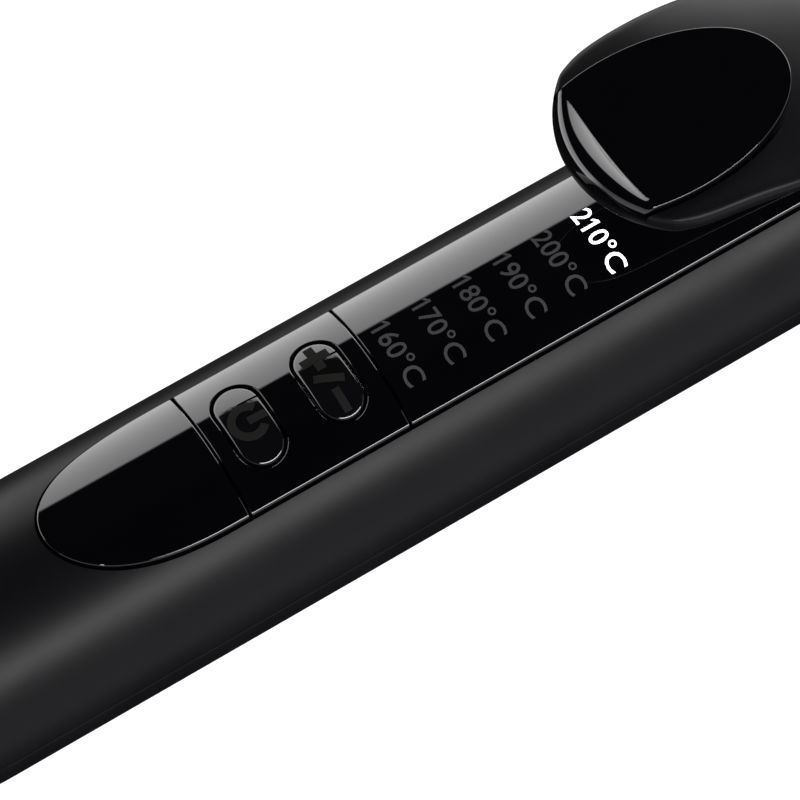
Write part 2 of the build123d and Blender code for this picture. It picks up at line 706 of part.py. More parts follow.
with BuildPart() as shell_screws:
    for screw_x in SCREW_X:
        with Locations((screw_x, 0, SCREW_HEAD_Z)):
            Cylinder(SCREW_HEAD_R, SCREW_HEAD_HEIGHT, align=HANGING)
            Cylinder(SCREW_R, SCREW_LENGTH, align=STANDING)
        with Locations((screw_x, 0, SCREW_HEAD_Z - SCREW_HEAD_HEIGHT)):
            Box(CROSS[0], CROSS[1], CROSS[2], mode=Mode.SUBTRACT)
            Box(CROSS[1], CROSS[0], CROSS[2], mode=Mode.SUBTRACT)
save(shell_screws, "shell_screws")

# ---------------------------------------------------------------- barrel
with BuildPart() as barrel_socket:
    with Locations(along_x((SOCKET_X + BARREL_X) / 2)):
        Cylinder(BARREL_R, BARREL_X - SOCKET_X)
    with Locations(along_x(BARREL_X + SOCKET_LENGTH / 2)):
        Cylinder(BARREL_IN, SOCKET_LENGTH)
    with Locations(along_x(BARREL_X)):
        Cylinder(SOCKET_BORE_R, WHOLE / 4, mode=Mode.SUBTRACT)
save(barrel_socket, "barrel_socket")

with BuildPart() as barrel_tube:
    with Locations(along_x((BARREL_X + BARREL_END_X) / 2)):
        Cylinder(BARREL_R, BARREL_END_X - BARREL_X)
        Cylinder(BARREL_IN, BARREL_END_X - BARREL_X, mode=Mode.SUBTRACT)
save(barrel_tube, "barrel_tube")

with BuildPart() as barrel_collar:
    with Locations(along_x(FRONT_X + COLLAR_LENGTH / 2)):
        Cylinder(COLLAR_R, COLLAR_LENGTH)
        Cylinder(BARREL_R, COLLAR_LENGTH, mode=Mode.SUBTRACT)
    chamfer(barrel_collar.edges().filter_by(GeomType.CIRCLE).sort_by(Axis.X)[-1], 0.1)
save(barrel_collar, "barrel_collar")


def heater_half(side):
    """Half-round block that carries heat from the ceramic to the barrel."""
    with BuildPart() as half:
        with BuildSketch(Plane.YZ.offset(HEATER_X)):
            Circle(HEATER_R)
            with Locations((0, side * (CERAMIC_THICK / 2 + FILM - HEATER_R))):
                Rectangle(4 * HEATER_R, 2 * HEATER_R, mode=Mode.SUBTRACT)
            with Locations((0, side * SENSOR_Z)):
                Circle(SENSOR_R + RUN_FIT, mode=Mode.SUBTRACT)
        extrude(amount=HEATER_LENGTH)
    return half


save(heater_half(1), "heater_block_upper")
save(heater_half(-1), "heater_block_lower")

with BuildPart() as ceramic_heater:
    with Locations((HEATER_MID_X, 0, 0)):
        Box(HEATER_LENGTH - 2 * CERAMIC_INSET, CERAMIC_WIDTH, CERAMIC_THICK)
save(ceramic_heater, "ceramic_heater")

with BuildPart() as heater_film:
    with Locations((HEATER_MID_X, 0, 0)):
        Box(HEATER_LENGTH - 2 * FILM_INSET, CERAMIC_WIDTH + 2 * FILM, CERAMIC_THICK + 2 * FILM)
        Box(HEATER_LENGTH, CERAMIC_WIDTH, CERAMIC_THICK, mode=Mode.SUBTRACT)
save(heater_film, "heater_film")

with BuildPart() as temperature_sensor:
    with Locations(Location((HEATER_X + SENSOR_LENGTH / 2 - SENSOR_OUT, 0, SENSOR_Z), (0, 90, 0))):
        Cylinder(SENSOR_R, SENSOR_LENGTH)
save(temperature_sensor, "temperature_sensor")

with BuildPart() as thermal_fuse:
    with Locations(Location((HEATER_X + THERMAL_FUSE_LENGTH / 2 - SENSOR_OUT, 0, -SENSOR_Z), (0, 90, 0))):
        Cylinder(SENSOR_R, THERMAL_FUSE_LENGTH)
save(thermal_fuse, "thermal_fuse")

with BuildPart() as heater_terminal:
    with Locations((HEATER_X - TERMINAL_FIT, 0, 0)):
        Box(
            HEATER_TERMINAL_LENGTH,
            CERAMIC_WIDTH - 1.0,
            2 * LEAD_Z + 2.4,
            align=(Align.MAX, Align.CENTER, Align.CENTER),
        )
save(heater_terminal, "heater_terminal")

with BuildPart() as heater_leads:
    for side in (-1, 1):
        with Locations(Location(((LEAD_X + LEAD_END_X) / 2, side * LEAD_Y, -LEAD_Z), (0, 90, 0))):
            Cylinder(LEAD_R, LEAD_END_X - LEAD_X)
save(heater_leads, "heater_leads")

with BuildPart() as cool_tip:
    with BuildSketch(Plane.XZ):
        with BuildLine():
            Polyline(
                (BARREL_END_X - TIP_SPIGOT, 0),
                (BARREL_END_X - TIP_SPIGOT, BARREL_IN),
                (BARREL_END_X, BARREL_IN),
                (BARREL_END_X, TIP_R),
                (TIP_END_X - TIP_DOME, TIP_R),
            )
            Spline(
                (TIP_END_X - TIP_DOME, TIP_R),
                (TIP_END_X, TIP_FACE_R),
                tangents=((1, -0.06), (0.15, -1)),
            )
            Polyline(
                (TIP_END_X, TIP_FACE_R),
                (TIP_END_X, SCREW_HEAD_R + HEAD_GAP),
                (TIP_END_X - TIP_SCREW_SUNK, SCREW_HEAD_R + HEAD_GAP),
                (TIP_END_X - TIP_SCREW_SUNK, SCREW_R),
                (TIP_END_X - TIP_SCREW_SUNK - TIP_SCREW_LENGTH, SCREW_R),
                (TIP_END_X - TIP_SCREW_SUNK - TIP_SCREW_LENGTH, 0),
                (BARREL_END_X - TIP_SPIGOT, 0),
            )
        make_face()
    revolve(axis=Axis.X)
save(cool_tip, "cool_tip")

with BuildPart() as tip_screw:
    with Locations(along_x(TIP_END_X - TIP_SCREW_SUNK + SCREW_HEAD_HEIGHT / 2)):
        Cylinder(SCREW_HEAD_R, SCREW_HEAD_HEIGHT)
    with Locations(along_x(TIP_END_X - TIP_SCREW_SUNK - TIP_SCREW_LENGTH / 2)):
        Cylinder(SCREW_R, TIP_SCREW_LENGTH)
    with Locations((TIP_END_X - TIP_SCREW_SUNK + SCREW_HEAD_HEIGHT, 0, 0)):
        Box(CROSS[2], CROSS[1], CROSS[0], mode=Mode.SUBTRACT)
        Box(CROSS[2], CROSS[0], CROSS[1], mode=Mode.SUBTRACT)
save(tip_screw, "tip_screw")

# ---------------------------------------------------------------- thumb clamp
with BuildPart() as thumb_pad:
    with BuildSketch(Plane.XY.offset(PAD_TOP_Z - PAD_THICK)):
        with Locations((PAD_X, 0)):
            Ellipse(PAD_LENGTH / 2, PAD_WIDTH / 2)
        with Locations((LEVER_TIP_X + PAD_TIP_INSET, 0)):
            Rectangle(WHOLE, WHOLE, align=(Align.MIN, Align.CENTER), mode=Mode.INTERSECT)
    extrude(amount=PAD_THICK)
    with Locations((PAD_X + 1.0, 0, PAD_TOP_Z - PAD_DISH + DISH_R)):
        Sphere(DISH_R, mode=Mode.SUBTRACT)
    with BuildSketch(Plane.XY.offset(PAD_TOP_Z - PAD_THICK)):
        with Locations((PAD_X, 0)):
            Ellipse(PAD_LENGTH / 2, PAD_WIDTH / 2)
        with Locations((LEVER_TIP_X + PAD_TIP_INSET, 0)):
            Rectangle(
                PAD_LIP_WIDTH, WHOLE, align=(Align.MIN, Align.CENTER), mode=Mode.INTERSECT
            )
    extrude(amount=PAD_THICK + PAD_LIP)
save(thumb_pad, "thumb_pad")

with BuildPart() as lever_body:
    with BuildSketch(Plane.XZ):
        with BuildLine():
            Spline(*LEVER_TOP)
            Polyline(
                LEVER_TOP[-1],
                (NOSE_X, NOSE_BOTTOM_Z),
                (PIVOT_X + CHEEK_R, PIVOT_Z),
                (PIVOT_X - CHEEK_R, PIVOT_Z),
                (PIVOT_X - CHEEK_R, CHEEK_TOP_Z),
                *LEVER_SKIRT,
                LEVER_TOP[0],
            )
        make_face()
        with Locations((PIVOT_X, PIVOT_Z)):
            Circle(CHEEK_R)
    extrude(amount=CHEEK_OUT, both=True)
    with BuildSketch(Plane.XY):
        with BuildLine():
            Spline(*LEVER_PLAN, tangents=((0, 1), (1, 0)))
            Line(LEVER_PLAN[-1], (NOSE_X - NOSE_ROUND, CHEEK_OUT))
            Spline(
                (NOSE_X - NOSE_ROUND, CHEEK_OUT),
                (NOSE_X, NOSE_HALF_WIDTH),
                tangents=((1, 0), (0.3, -1)),
            )
            Polyline((NOSE_X, NOSE_HALF_WIDTH), (NOSE_X, 0), LEVER_PLAN[0])
        make_face()
        mirror(about=Plane.XZ)
    extrude(amount=WHOLE / 4, both=True, mode=Mode.INTERSECT)
    with BuildSketch(Plane.XZ):
        with BuildLine():
            Spline(*[(x, z - LEVER_WALL) for x, z in LEVER_TOP[2:6]])
            Polyline(
                (LEVER_TOP[5][0], LEVER_TOP[5][1] - LEVER_WALL),
                (LEVER_TOP[5][0], 0),
                (LEVER_TOP[2][0], 0),
                (LEVER_TOP[2][0], LEVER_TOP[2][1] - LEVER_WALL),
            )
        make_face()
    extrude(amount=POCKET_HALF_WIDTH, both=True, mode=Mode.SUBTRACT)
    with Locations((PIVOT_X, 0, 0)):
        Box(2 * CHEEK_R + 2, 2 * CHEEK_IN, 2 * CHEEK_TOP_Z - 9, mode=Mode.SUBTRACT)
    for step in range(SWEEP_STEPS + 1):
        turned = Location((PIVOT_X, 0, PIVOT_Z), (0, (CLAMP_OPEN + 1) * step / SWEEP_STEPS, 0))
        with Locations(turned * Location((0, 0, -PIVOT_Z), (0, 90, 0))):
            Cylinder(CHEEK_IN, 2 * (COLLAR_END_X - PIVOT_X), mode=Mode.SUBTRACT)
        with Locations(turned * Location((NECK_X - PIVOT_X - 40, 0, -PIVOT_Z), (0, 90, 0))):
            Cylinder(PANEL_R + MOVE_GAP, 80.0, mode=Mode.SUBTRACT)
    with Locations(along_x(BARREL_X)):
        Cylinder(SPOON_ROOT_OUT, 2 * (NOSE_X - BARREL_X) + 4, mode=Mode.SUBTRACT)
    with Locations(Location((PIVOT_X, 0, PIVOT_Z), (90, 0, 0))):
        Cylinder(PIN_R + RUN_FIT, 4 * HANDLE_R, mode=Mode.SUBTRACT)
    with BuildSketch(Plane.XY.offset(PAD_TOP_Z - PAD_THICK)):
        with Locations((PAD_X, 0)):
            Ellipse(PAD_LENGTH / 2, PAD_WIDTH / 2)
    extrude(amount=PAD_THICK, mode=Mode.SUBTRACT)
    with BuildSketch(Plane.XY):
        with Locations((RIVET_X, -RIVET_Y), (RIVET_X, RIVET_Y)):
            Circle(RIVET_R)
    extrude(amount=RIVET_TOP_Z, mode=Mode.SUBTRACT)
save(lever_body, "lever_body")

half_arc = radians(SPOON_ARC / 2)
SPOON_PLANE = Plane(
    origin=(0, 0, 0), x_dir=(1, 0, 0), z_dir=(0, -cos(half_arc), sin(half_arc))
)
with BuildPart() as clamp_spoon:
    with BuildSketch(SPOON_PLANE):
        with BuildLine():
            Polyline(
                (BARREL_X, SPOON_ROOT_IN),
                (COLLAR_END_X + 1, SPOON_ROOT_IN),
                (COLLAR_END_X + 6, SPOON_IN),
                (SPOON_END_X - SPOON_LIP * 2, SPOON_IN),
                (SPOON_END_X, SPOON_IN + SPOON_LIP),
                (SPOON_END_X, SPOON_IN + SPOON_LIP + SPOON_THICK),
                (SPOON_END_X - SPOON_LIP * 2 - 0.4, SPOON_IN + SPOON_THICK),
                (COLLAR_END_X + 6.4, SPOON_IN + SPOON_THICK),
                (COLLAR_END_X + 1.4, SPOON_ROOT_OUT),
                (BARREL_X, SPOON_ROOT_OUT),
                close=True,
            )
        make_face()
    revolve(axis=Axis.X, revolution_arc=SPOON_ARC)
    with BuildSketch(Plane.XY):
        with Locations((RIVET_X, -RIVET_Y), (RIVET_X, RIVET_Y)):
            Circle(RIVET_R)
    extrude(amount=RIVET_TOP_Z, mode=Mode.SUBTRACT)
save(clamp_spoon, "clamp_spoon")

with BuildPart() as spoon_rivets:
    with BuildSketch(Plane.XY.offset(RIVET_BOTTOM_Z)):
        with Locations((RIVET_X, -RIVET_Y), (RIVET_X, RIVET_Y)):
            Circle(RIVET_R)
    extrude(amount=RIVET_TOP_Z - RIVET_BOTTOM_Z)
save(spoon_rivets, "spoon_rivets")

with BuildPart() as pivot_pin:
    with Locations(Location((PIVOT_X, 0, PIVOT_Z), (90, 0, 0))):
        Cylinder(PIN_R, 2 * (CHEEK_OUT - 0.4))
    chamfer(pivot_pin.edges().filter_by(GeomType.CIRCLE), 0.3)
save(pivot_pin, "pivot_pin")

with BuildPart() as spring_coil:
    with BuildLine() as coil:
        Helix(SPRING_PITCH, SPRING_LENGTH, SPRING_R, center=(0, 0, -SPRING_LENGTH / 2))
    with BuildSketch(Plane(origin=coil.line @ 0, z_dir=coil.line % 0)):
        Circle(SPRING_WIRE_R)
    sweep(is_frenet=True)

with BuildPart() as clamp_spring:
    with Locations(Location((PIVOT_X, 0, PIVOT_Z), (90, 0, 0))):
        add(spring_coil.part)
    with Locations((PIVOT_X + SPRING_R, SPRING_LENGTH / 2, PIVOT_Z)):
        Cylinder(SPRING_WIRE_R, SPRING_LEG, align=HANGING)
    with Locations(
        Location((PIVOT_X - SPRING_R, -SPRING_LENGTH / 2, PIVOT_Z), (0, -SPRING_LEAN, 0))
    ):
        Cylinder(SPRING_WIRE_R, SPRING_ARM, align=STANDING)
save(clamp_spring, "clamp_spring")

# ---------------------------------------------------------------- folding stand
with BuildPart() as stand:
    with BuildSketch(Plane.XY.offset(REST_Z)):
        with Locations(((STAND_BACK_X + STAND_PIVOT_X) / 2, 0)):
            Rectangle(STAND_PIVOT_X - STAND_BACK_X, STAND_WIDTH)
        fillet(vertices().group_by(Axis.X)[0], STAND_CORNER)
        with Locations((STAND_BACK_X, 0)):
            Circle(STAND_NOTCH_R, mode=Mode.SUBTRACT)
    extrude(amount=STAND_THICK)
    with Locations(Location((STAND_PIVOT_X, 0, STAND_PIVOT_Z), (90, 0, 0))):
        Cylinder(KNUCKLE_R, STAND_WIDTH)
    for side in (-1, 1):
        with Locations((STAND_PIVOT_X, side * LUG_Y, STAND_PIVOT_Z)):
            Box(2 * KNUCKLE_R + 6, LUG_THICK + 2 * MOVE_GAP, WHOLE / 10, mode=Mode.SUBTRACT)
    with Locations(Location((STAND_PIVOT_X, 0, STAND_PIVOT_Z), (90, 0, 0))):
        Cylinder(STAND_PIN_R + RUN_FIT, WHOLE, mode=Mode.SUBTRACT)
save(stand, "stand")

with BuildPart() as stand_pin:
    with Locations(Location((STAND_PIVOT_X, 0, STAND_PIVOT_Z), (90, 0, 0))):
        Cylinder(STAND_PIN_R, STAND_WIDTH - 0.6)
save(stand_pin, "stand_pin")
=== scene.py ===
"""A curling iron's looks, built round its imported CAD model, in metres in the model's own frame."""
import json
from math import cos, hypot, pi, radians, sin, sqrt

import bpy
from mathutils import Matrix, Vector


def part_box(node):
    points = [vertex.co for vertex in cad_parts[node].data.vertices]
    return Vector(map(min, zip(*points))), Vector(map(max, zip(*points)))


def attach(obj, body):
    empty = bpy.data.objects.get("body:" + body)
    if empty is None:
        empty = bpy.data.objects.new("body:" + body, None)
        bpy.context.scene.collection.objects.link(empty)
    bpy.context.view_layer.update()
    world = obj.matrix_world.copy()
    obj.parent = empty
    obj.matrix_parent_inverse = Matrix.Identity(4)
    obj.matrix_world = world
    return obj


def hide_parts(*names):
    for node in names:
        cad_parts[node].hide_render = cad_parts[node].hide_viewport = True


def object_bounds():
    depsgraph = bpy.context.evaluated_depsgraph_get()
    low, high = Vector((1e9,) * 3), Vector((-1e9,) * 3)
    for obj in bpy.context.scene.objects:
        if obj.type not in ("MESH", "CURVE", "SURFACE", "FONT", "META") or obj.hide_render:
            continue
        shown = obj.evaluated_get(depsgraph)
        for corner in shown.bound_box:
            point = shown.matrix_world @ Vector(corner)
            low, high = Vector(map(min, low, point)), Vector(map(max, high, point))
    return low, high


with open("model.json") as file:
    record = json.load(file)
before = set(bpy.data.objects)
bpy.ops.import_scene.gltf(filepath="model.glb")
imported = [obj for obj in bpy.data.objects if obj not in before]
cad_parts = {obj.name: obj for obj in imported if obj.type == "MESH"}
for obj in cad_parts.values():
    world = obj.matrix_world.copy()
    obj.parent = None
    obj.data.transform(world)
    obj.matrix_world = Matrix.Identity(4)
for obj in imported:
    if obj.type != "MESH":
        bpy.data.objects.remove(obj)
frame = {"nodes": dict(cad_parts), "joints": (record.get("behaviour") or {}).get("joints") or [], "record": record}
cad_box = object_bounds()
bpy.ops.object.select_all(action="DESELECT")
scene = bpy.context.scene
MM = 0.001


# ---------------------------------------------------------------- places and sizes, read from the frame
def low(node_name):
    """The lowest corner of a CAD node's box."""
    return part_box(node_name)[0]


def high(node_name):
    """The highest corner of a CAD node's box."""
    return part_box(node_name)[1]


def joint(name):
    """A joint's own entry in the frame."""
    return next(j for j in frame["joints"] if j["name"] == name)


TAIL_X = low("handle_upper_shell").x
FRONT_X = high("handle_upper_shell").x
HANDLE_R = high("handle_upper_shell").y
NECK_R = high("barrel_collar").z
PANEL_R = high("button_panel").z
PANEL_HALF = high("button_panel").y
PANEL_THICK = PANEL_R - sqrt(low("display_lens").z ** 2 + PANEL_HALF**2)
INLAY_TIP_X = low("tail_inlay").x
INLAY_END_X = high("tail_inlay").x
KEYS_START_X = low("button_panel").x
KEYS_END_X = high("button_panel").x
LENS_START_X = low("display_lens").x
LENS_END_X = high("display_lens").x
POWER_X = (low("power_switch").x + high("power_switch").x) / 2
ROCKER_X = joint("temperature_rock")["pos_m"][0]
KEY_LENGTH = 6.1 * MM  # along X
KEY_WIDTH = 12.0 * MM  # along Y
KEY_GAP = 0.38 * MM
WALL = 2.2 * MM
BORE_R = 2 * MM  # room for the pivot pin
POCKET_GAP = 0.35 * MM
PIVOT = Vector(joint("clamp_hinge")["pos_m"])
PAD_LOW, PAD_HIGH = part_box("thumb_pad")
LEVER_LOW, LEVER_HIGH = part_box("lever_body")
BARREL_R = high("barrel_tube").z
# Room under the object for the stand to swing down.
FLOOR_Z = cad_box[0].z - (high("stand").x - low("stand").x)


SLOTS = {part["node"]: part["material_slot"] for part in frame["record"]["subparts"]}


# ---------------------------------------------------------------- small modelling helpers
def active(name):
    """The object an operator has just made, named."""
    piece = bpy.context.object
    piece.name = name
    piece.data.name = name
    return piece


def pick(piece):
    """Select one piece alone and make it active."""
    bpy.ops.object.select_all(action="DESELECT")
    piece.select_set(True)
    bpy.context.view_layer.objects.active = piece


def finish_mesh(piece, angle=35):
    """Apply the place, merge doubles, turn faces outwards and shade smooth up to an angle."""
    pick(piece)
    bpy.ops.object.transform_apply(location=True, rotation=True, scale=True)
    bpy.ops.object.mode_set(mode="EDIT")
    bpy.ops.mesh.select_all(action="SELECT")
    bpy.ops.mesh.remove_doubles(threshold=1e-6)
    bpy.ops.mesh.normals_make_consistent(inside=False)
    bpy.ops.object.mode_set(mode="OBJECT")
    bpy.ops.object.shade_smooth_by_angle(angle=radians(angle))
    return piece


def modify(piece, kind, **settings):
    """Add a modifier with its settings and apply it."""
    pick(piece)
    modifier = piece.modifiers.new(kind.title(), kind)
    for key, value in settings.items():
        setattr(modifier, key, value)
    bpy.ops.object.modifier_apply(modifier=modifier.name)
    return piece


def soften(piece, width, segments=3, angle=35):
    """Round the sharp edges."""
    return modify(
        piece,
        "BEVEL",
        width=width,
        segments=segments,
        limit_method="ANGLE",
        angle_limit=radians(angle),
        use_clamp_overlap=False,
    )


def cut(piece, cutter):
    """Cut one closed mesh out of another and remove the cutter."""
    modify(piece, "BOOLEAN", operation="DIFFERENCE", object=cutter, solver="EXACT")
    bpy.data.objects.remove(cutter)
    return piece


def surface(name, rows, columns, place):
    """A grid laid out by a function of u (0 to 1, along) and v (-1 to 1, across)."""
    bpy.ops.object.select_all(action="DESELECT")
    bpy.ops.mesh.primitive_grid_add(x_subdivisions=rows, y_subdivisions=columns, size=1)
    piece = active(name)
    for vertex in piece.data.vertices:
        vertex.co = place(vertex.co.x + 0.5, vertex.co.y * 2)
    return piece


def slab(name, outline, bottom, top):
    """A flat block with any plan outline, given as (x, y) points anticlockwise."""
    bpy.ops.object.select_all(action="DESELECT")
    bpy.ops.mesh.primitive_circle_add(vertices=len(outline), radius=1, fill_type="NGON")
    piece = active(name)
    for vertex, (x, y) in zip(piece.data.vertices, outline):
        vertex.co = (x, y, top)
    bpy.ops.object.mode_set(mode="EDIT")
    bpy.ops.mesh.select_all(action="SELECT")
    bpy.ops.mesh.extrude_region_move(TRANSFORM_OT_translate={"value": (0, 0, bottom - top)})
    bpy.ops.mesh.select_all(action="SELECT")
    bpy.ops.mesh.normals_make_consistent(inside=False)
    bpy.ops.object.mode_set(mode="OBJECT")
    return piece


def slice_up(piece, axis, start, end, step):
    """Cut a mesh into strips with planes across one axis."""
    pick(piece)
    normal = [1.0 if i == axis else 0.0 for i in range(3)]
    bpy.ops.object.mode_set(mode="EDIT")
    count = round((end - start) / step)
    for i in range(1, count):
        bpy.ops.mesh.select_all(action="SELECT")
        at = [n * (start + (end - start) * i / count) for n in normal]
        bpy.ops.mesh.bisect(plane_co=at, plane_no=normal)
    bpy.ops.object.mode_set(mode="OBJECT")
    return piece


def key_outline(centre_x, grow):
    """The round-ended outline of a key, grown all round."""
    radius = KEY_LENGTH / 2 + grow
    reach = (KEY_WIDTH - KEY_LENGTH) / 2
    points = []
    for side, start in ((1, 0), (-1, pi)):
        for i in range(25):
            angle = start + pi * i / 24
            points.append((centre_x + radius * cos(angle), side * reach + radius * sin(angle)))
        for i in range(1, 20):
            points.append((centre_x - side * radius, side * reach * (1 - i / 10)))
    return points


def turned(name, stations, segments=160):
    """A round body about the handle's axis, drawn ring by ring through (x, radius) stations."""
    bpy.ops.object.select_all(action="DESELECT")
    x, radius = stations[0]
    bpy.ops.mesh.primitive_circle_add(
        vertices=segments, radius=radius, location=(x, 0, 0), rotation=(0, pi / 2, 0)
    )
    piece = active(name)
    bpy.ops.object.transform_apply(location=True, rotation=True, scale=True)
    bpy.ops.object.mode_set(mode="EDIT")
    bpy.ops.mesh.select_all(action="SELECT")
    for new_x, new_radius in stations[1:]:
        bpy.ops.mesh.extrude_region_move(TRANSFORM_OT_translate={"value": (new_x - x, 0, 0)})
        ratio = new_radius / radius
        bpy.ops.transform.resize(value=(1, ratio, ratio), center_override=(new_x, 0, 0))
        x, radius = new_x, new_radius
    bpy.ops.object.mode_set(mode="OBJECT")
    return piece


def half_of(piece, upper):
    """Keep the half above or below the handle's seam, and close the cut."""
    pick(piece)
    bpy.ops.object.mode_set(mode="EDIT")
    bpy.ops.mesh.select_all(action="SELECT")
    bpy.ops.mesh.bisect(
        plane_co=(0, 0, 0), plane_no=(0, 0, 1), use_fill=True, clear_inner=upper, clear_outer=not upper
    )
    bpy.ops.object.mode_set(mode="OBJECT")
    return piece


def on_panel(x, y, radius):
    """A point above a plan position, on a cylinder about the handle's axis."""
    return Vector((x, y, sqrt(radius**2 - y**2)))


def arc(start, end, count):
    """Stations along a quarter ellipse that leaves start steeply and reaches end level."""
    points = []
    for i in range(count + 1):
        t = i / count * pi / 2
        points.append((start[0] + (end[0] - start[0]) * (1 - cos(t)), start[1] + (end[1] - start[1]) * sin(t)))
    return points


def smooth(points, x):
    """Value at x of a smooth curve through rising (x, value) points, level with its ends beyond them."""
    if x <= points[0][0]:
        return points[0][1]
    if x >= points[-1][0]:
        return points[-1][1]
    i = max(k for k in range(len(points) - 1) if points[k][0] <= x)

    def slope(k):
        first, last = points[max(k - 1, 0)], points[min(k + 1, len(points) - 1)]
        return (last[1] - first[1]) / (last[0] - first[0])

    (x0, v0), (x1, v1) = points[i], points[i + 1]
    width = x1 - x0
    t = (x - x0) / width
    return (
        v0 * (2 * t**3 - 3 * t**2 + 1)
        + slope(i) * width * (t**3 - 2 * t**2 + t)
        + v1 * (3 * t**2 - 2 * t**3)
        + slope(i + 1) * width * (t**3 - t**2)
    )


def unite(piece, other):
    """Join two closed meshes into one skin."""
    modify(piece, "BOOLEAN", operation="UNION", object=other, solver="EXACT")
    bpy.data.objects.remove(other)
    return piece


def block(name, lowest, highest):
    """A box cutter between two corners."""
    bpy.ops.object.select_all(action="DESELECT")
    middle = [(a + b) / 2 for a, b in zip(lowest, highest)]
    bpy.ops.mesh.primitive_cube_add(size=1, location=middle)
    bpy.ops.transform.resize(value=[b - a for a, b in zip(lowest, highest)])
    piece = active(name)
    bpy.ops.object.transform_apply(location=True, rotation=True, scale=True)
    return piece


def rod(name, radius, start, end, segments=64):
    """A round bar between two points."""
    bpy.ops.object.select_all(action="DESELECT")
    way = Vector(end) - Vector(start)
    bpy.ops.mesh.primitive_cylinder_add(vertices=segments, radius=radius, depth=way.length)
    piece = active(name)
    piece.matrix_world = Matrix.Translation((Vector(start) + Vector(end)) / 2) @ way.to_track_quat(
        "Z", "Y"
    ).to_matrix().to_4x4()
    bpy.ops.object.transform_apply(location=True, rotation=True, scale=True)
    return piece


def ellipse_outline(centre_x, half_length, half_width, count=160):
    """An ellipse in plan, as (x, y) points."""
    turns = [2 * pi * i / count for i in range(count)]
    return [(centre_x + half_length * cos(t), half_width * sin(t)) for t in turns]


def dress(piece, body, node, material):
    """Give a finished piece its material, the CAD body it rides and the CAD node it stands for."""
    paint(piece, material)
    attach(piece, body)
    if node:
        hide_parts(node)
    return piece


# ---------------------------------------------------------------- materials
def linear(hex_colour):
    """sRGB hex to linear RGBA."""
    channels = [int(hex_colour[i : i + 2], 16) / 255 for i in (0, 2, 4)]
    return [c / 12.92 if c <= 0.04045 else ((c + 0.055) / 1.055) ** 2.4 for c in channels] + [1.0]


def add_node(tree, kind, settings=None, links=None):
    """One shader node with its settings (sockets or properties) and the sockets that feed it."""
    made = tree.nodes.new(kind)
    for key, value in (settings or {}).items():
        if hasattr(made, key) and not (key in made.inputs):
            setattr(made, key, value)
        else:
            made.inputs[key].default_value = value
    for key, socket in (links or {}).items():
        tree.links.new(socket, made.inputs[key])
    return made


def new_material(name, **settings):
    """A material with one Principled shader, whose constants are set on its own sockets."""
    material = bpy.data.materials.new(name)
    material.use_nodes = True
    tree = material.node_tree
    shader = tree.nodes["Principled BSDF"]
    for key, value in settings.items():
        shader.inputs[key.replace("_", " ")].default_value = value
    place = add_node(tree, "ShaderNodeTexCoord").outputs["Object"]
    return material, tree, shader, place


# Handling and moulding change a surface's colour and shine over about this distance.
DRIFT_MM = 14


def grain(tree, shader, place, grain_mm, depth_mm, rough, spread, colours=None):
    """Fine moulded or blasted grain: bump and roughness from one noise, and an optional colour drift."""
    fine = add_node(
        tree,
        "ShaderNodeTexNoise",
        {"Scale": 1 / (grain_mm * MM), "Detail": 3.0, "Roughness": 0.55},
        {"Vector": place},
    )
    wide = add_node(
        tree,
        "ShaderNodeTexNoise",
        {"Scale": 1 / (DRIFT_MM * MM), "Detail": 4.0, "Roughness": 0.6},
        {"Vector": place},
    )
    bump = add_node(
        tree,
        "ShaderNodeBump",
        {"Strength": 1.0, "Distance": depth_mm * MM},
        {"Height": fine.outputs["Fac"]},
    )
    level = add_node(
        tree,
        "ShaderNodeMapRange",
        {"From Min": 0.3, "From Max": 0.7, "To Min": rough - spread, "To Max": rough + spread},
        {"Value": wide.outputs["Fac"]},
    )
    tree.links.new(bump.outputs["Normal"], shader.inputs["Normal"])
    tree.links.new(level.outputs["Result"], shader.inputs["Roughness"])
    if colours:
        tint = add_node(
            tree,
            "ShaderNodeMix",
            {"data_type": "RGBA"},
            {"Factor": wide.outputs["Fac"]},
        )
        tint.inputs[6].default_value = linear(colours[0])
        tint.inputs[7].default_value = linear(colours[1])
        tree.links.new(tint.outputs[2], shader.inputs["Base Color"])
    return bump


def satin_abs(name, specular):
    """Moulded ABS with a spark-eroded satin texture: near black, a broad soft highlight and a fine grain.

    The specular level was set under this scene's light, and is far below a usual plastic's 0.5.
    """
    material, tree, shader, place = new_material(name, IOR=1.53, Specular_IOR_Level=specular)
    grain(tree, shader, place, 0.16, 0.006, 0.37, 0.03, ("08080a", "0c0c0e"))
    return material


def gloss_abs():
    """Polished piano-black ABS: a mirror skin with the faintest swirl of handling in its roughness."""
    material, tree, shader, place = new_material("piano_black_abs", IOR=1.55)
    grain(tree, shader, place, 2.5, 0.00004, 0.035, 0.012, ("020203", "040406"))
    return material


def plain(name, colour, rough, **settings):
    """A fine-grained solid colour for small inner pieces."""
    material, tree, shader, place = new_material(name, **settings)
    grain(tree, shader, place, 0.4, 0.01, rough, 0.05, colour)
    return material


SATIN = satin_abs("satin_black_abs", 0.09)
GLOSS = gloss_abs()
# Screen-printed grey ink under the lens: dim, and as smooth as the lens itself.
LEGEND_DIM = plain("unlit_legend_print", ("333335", "3c3c3e"), 0.05, IOR=1.55)
# The same ink left clear over a lamp: an even, slightly cool white.
LEGEND_LIT = plain(
    "lit_legend",
    ("f2f5ff", "ffffff"),
    0.3,
    Emission_Color=linear("f4f8ff"),
    Emission_Strength=1.2,
)
# ABS signs left matt by the mould: they stay dark grey where the key about them mirrors the light.
# Their specular level was set in the same way.
SIGN = plain("satin_raised_sign", ("171716", "1b1b1a"), 0.5, IOR=1.5, Specular_IOR_Level=0.01)
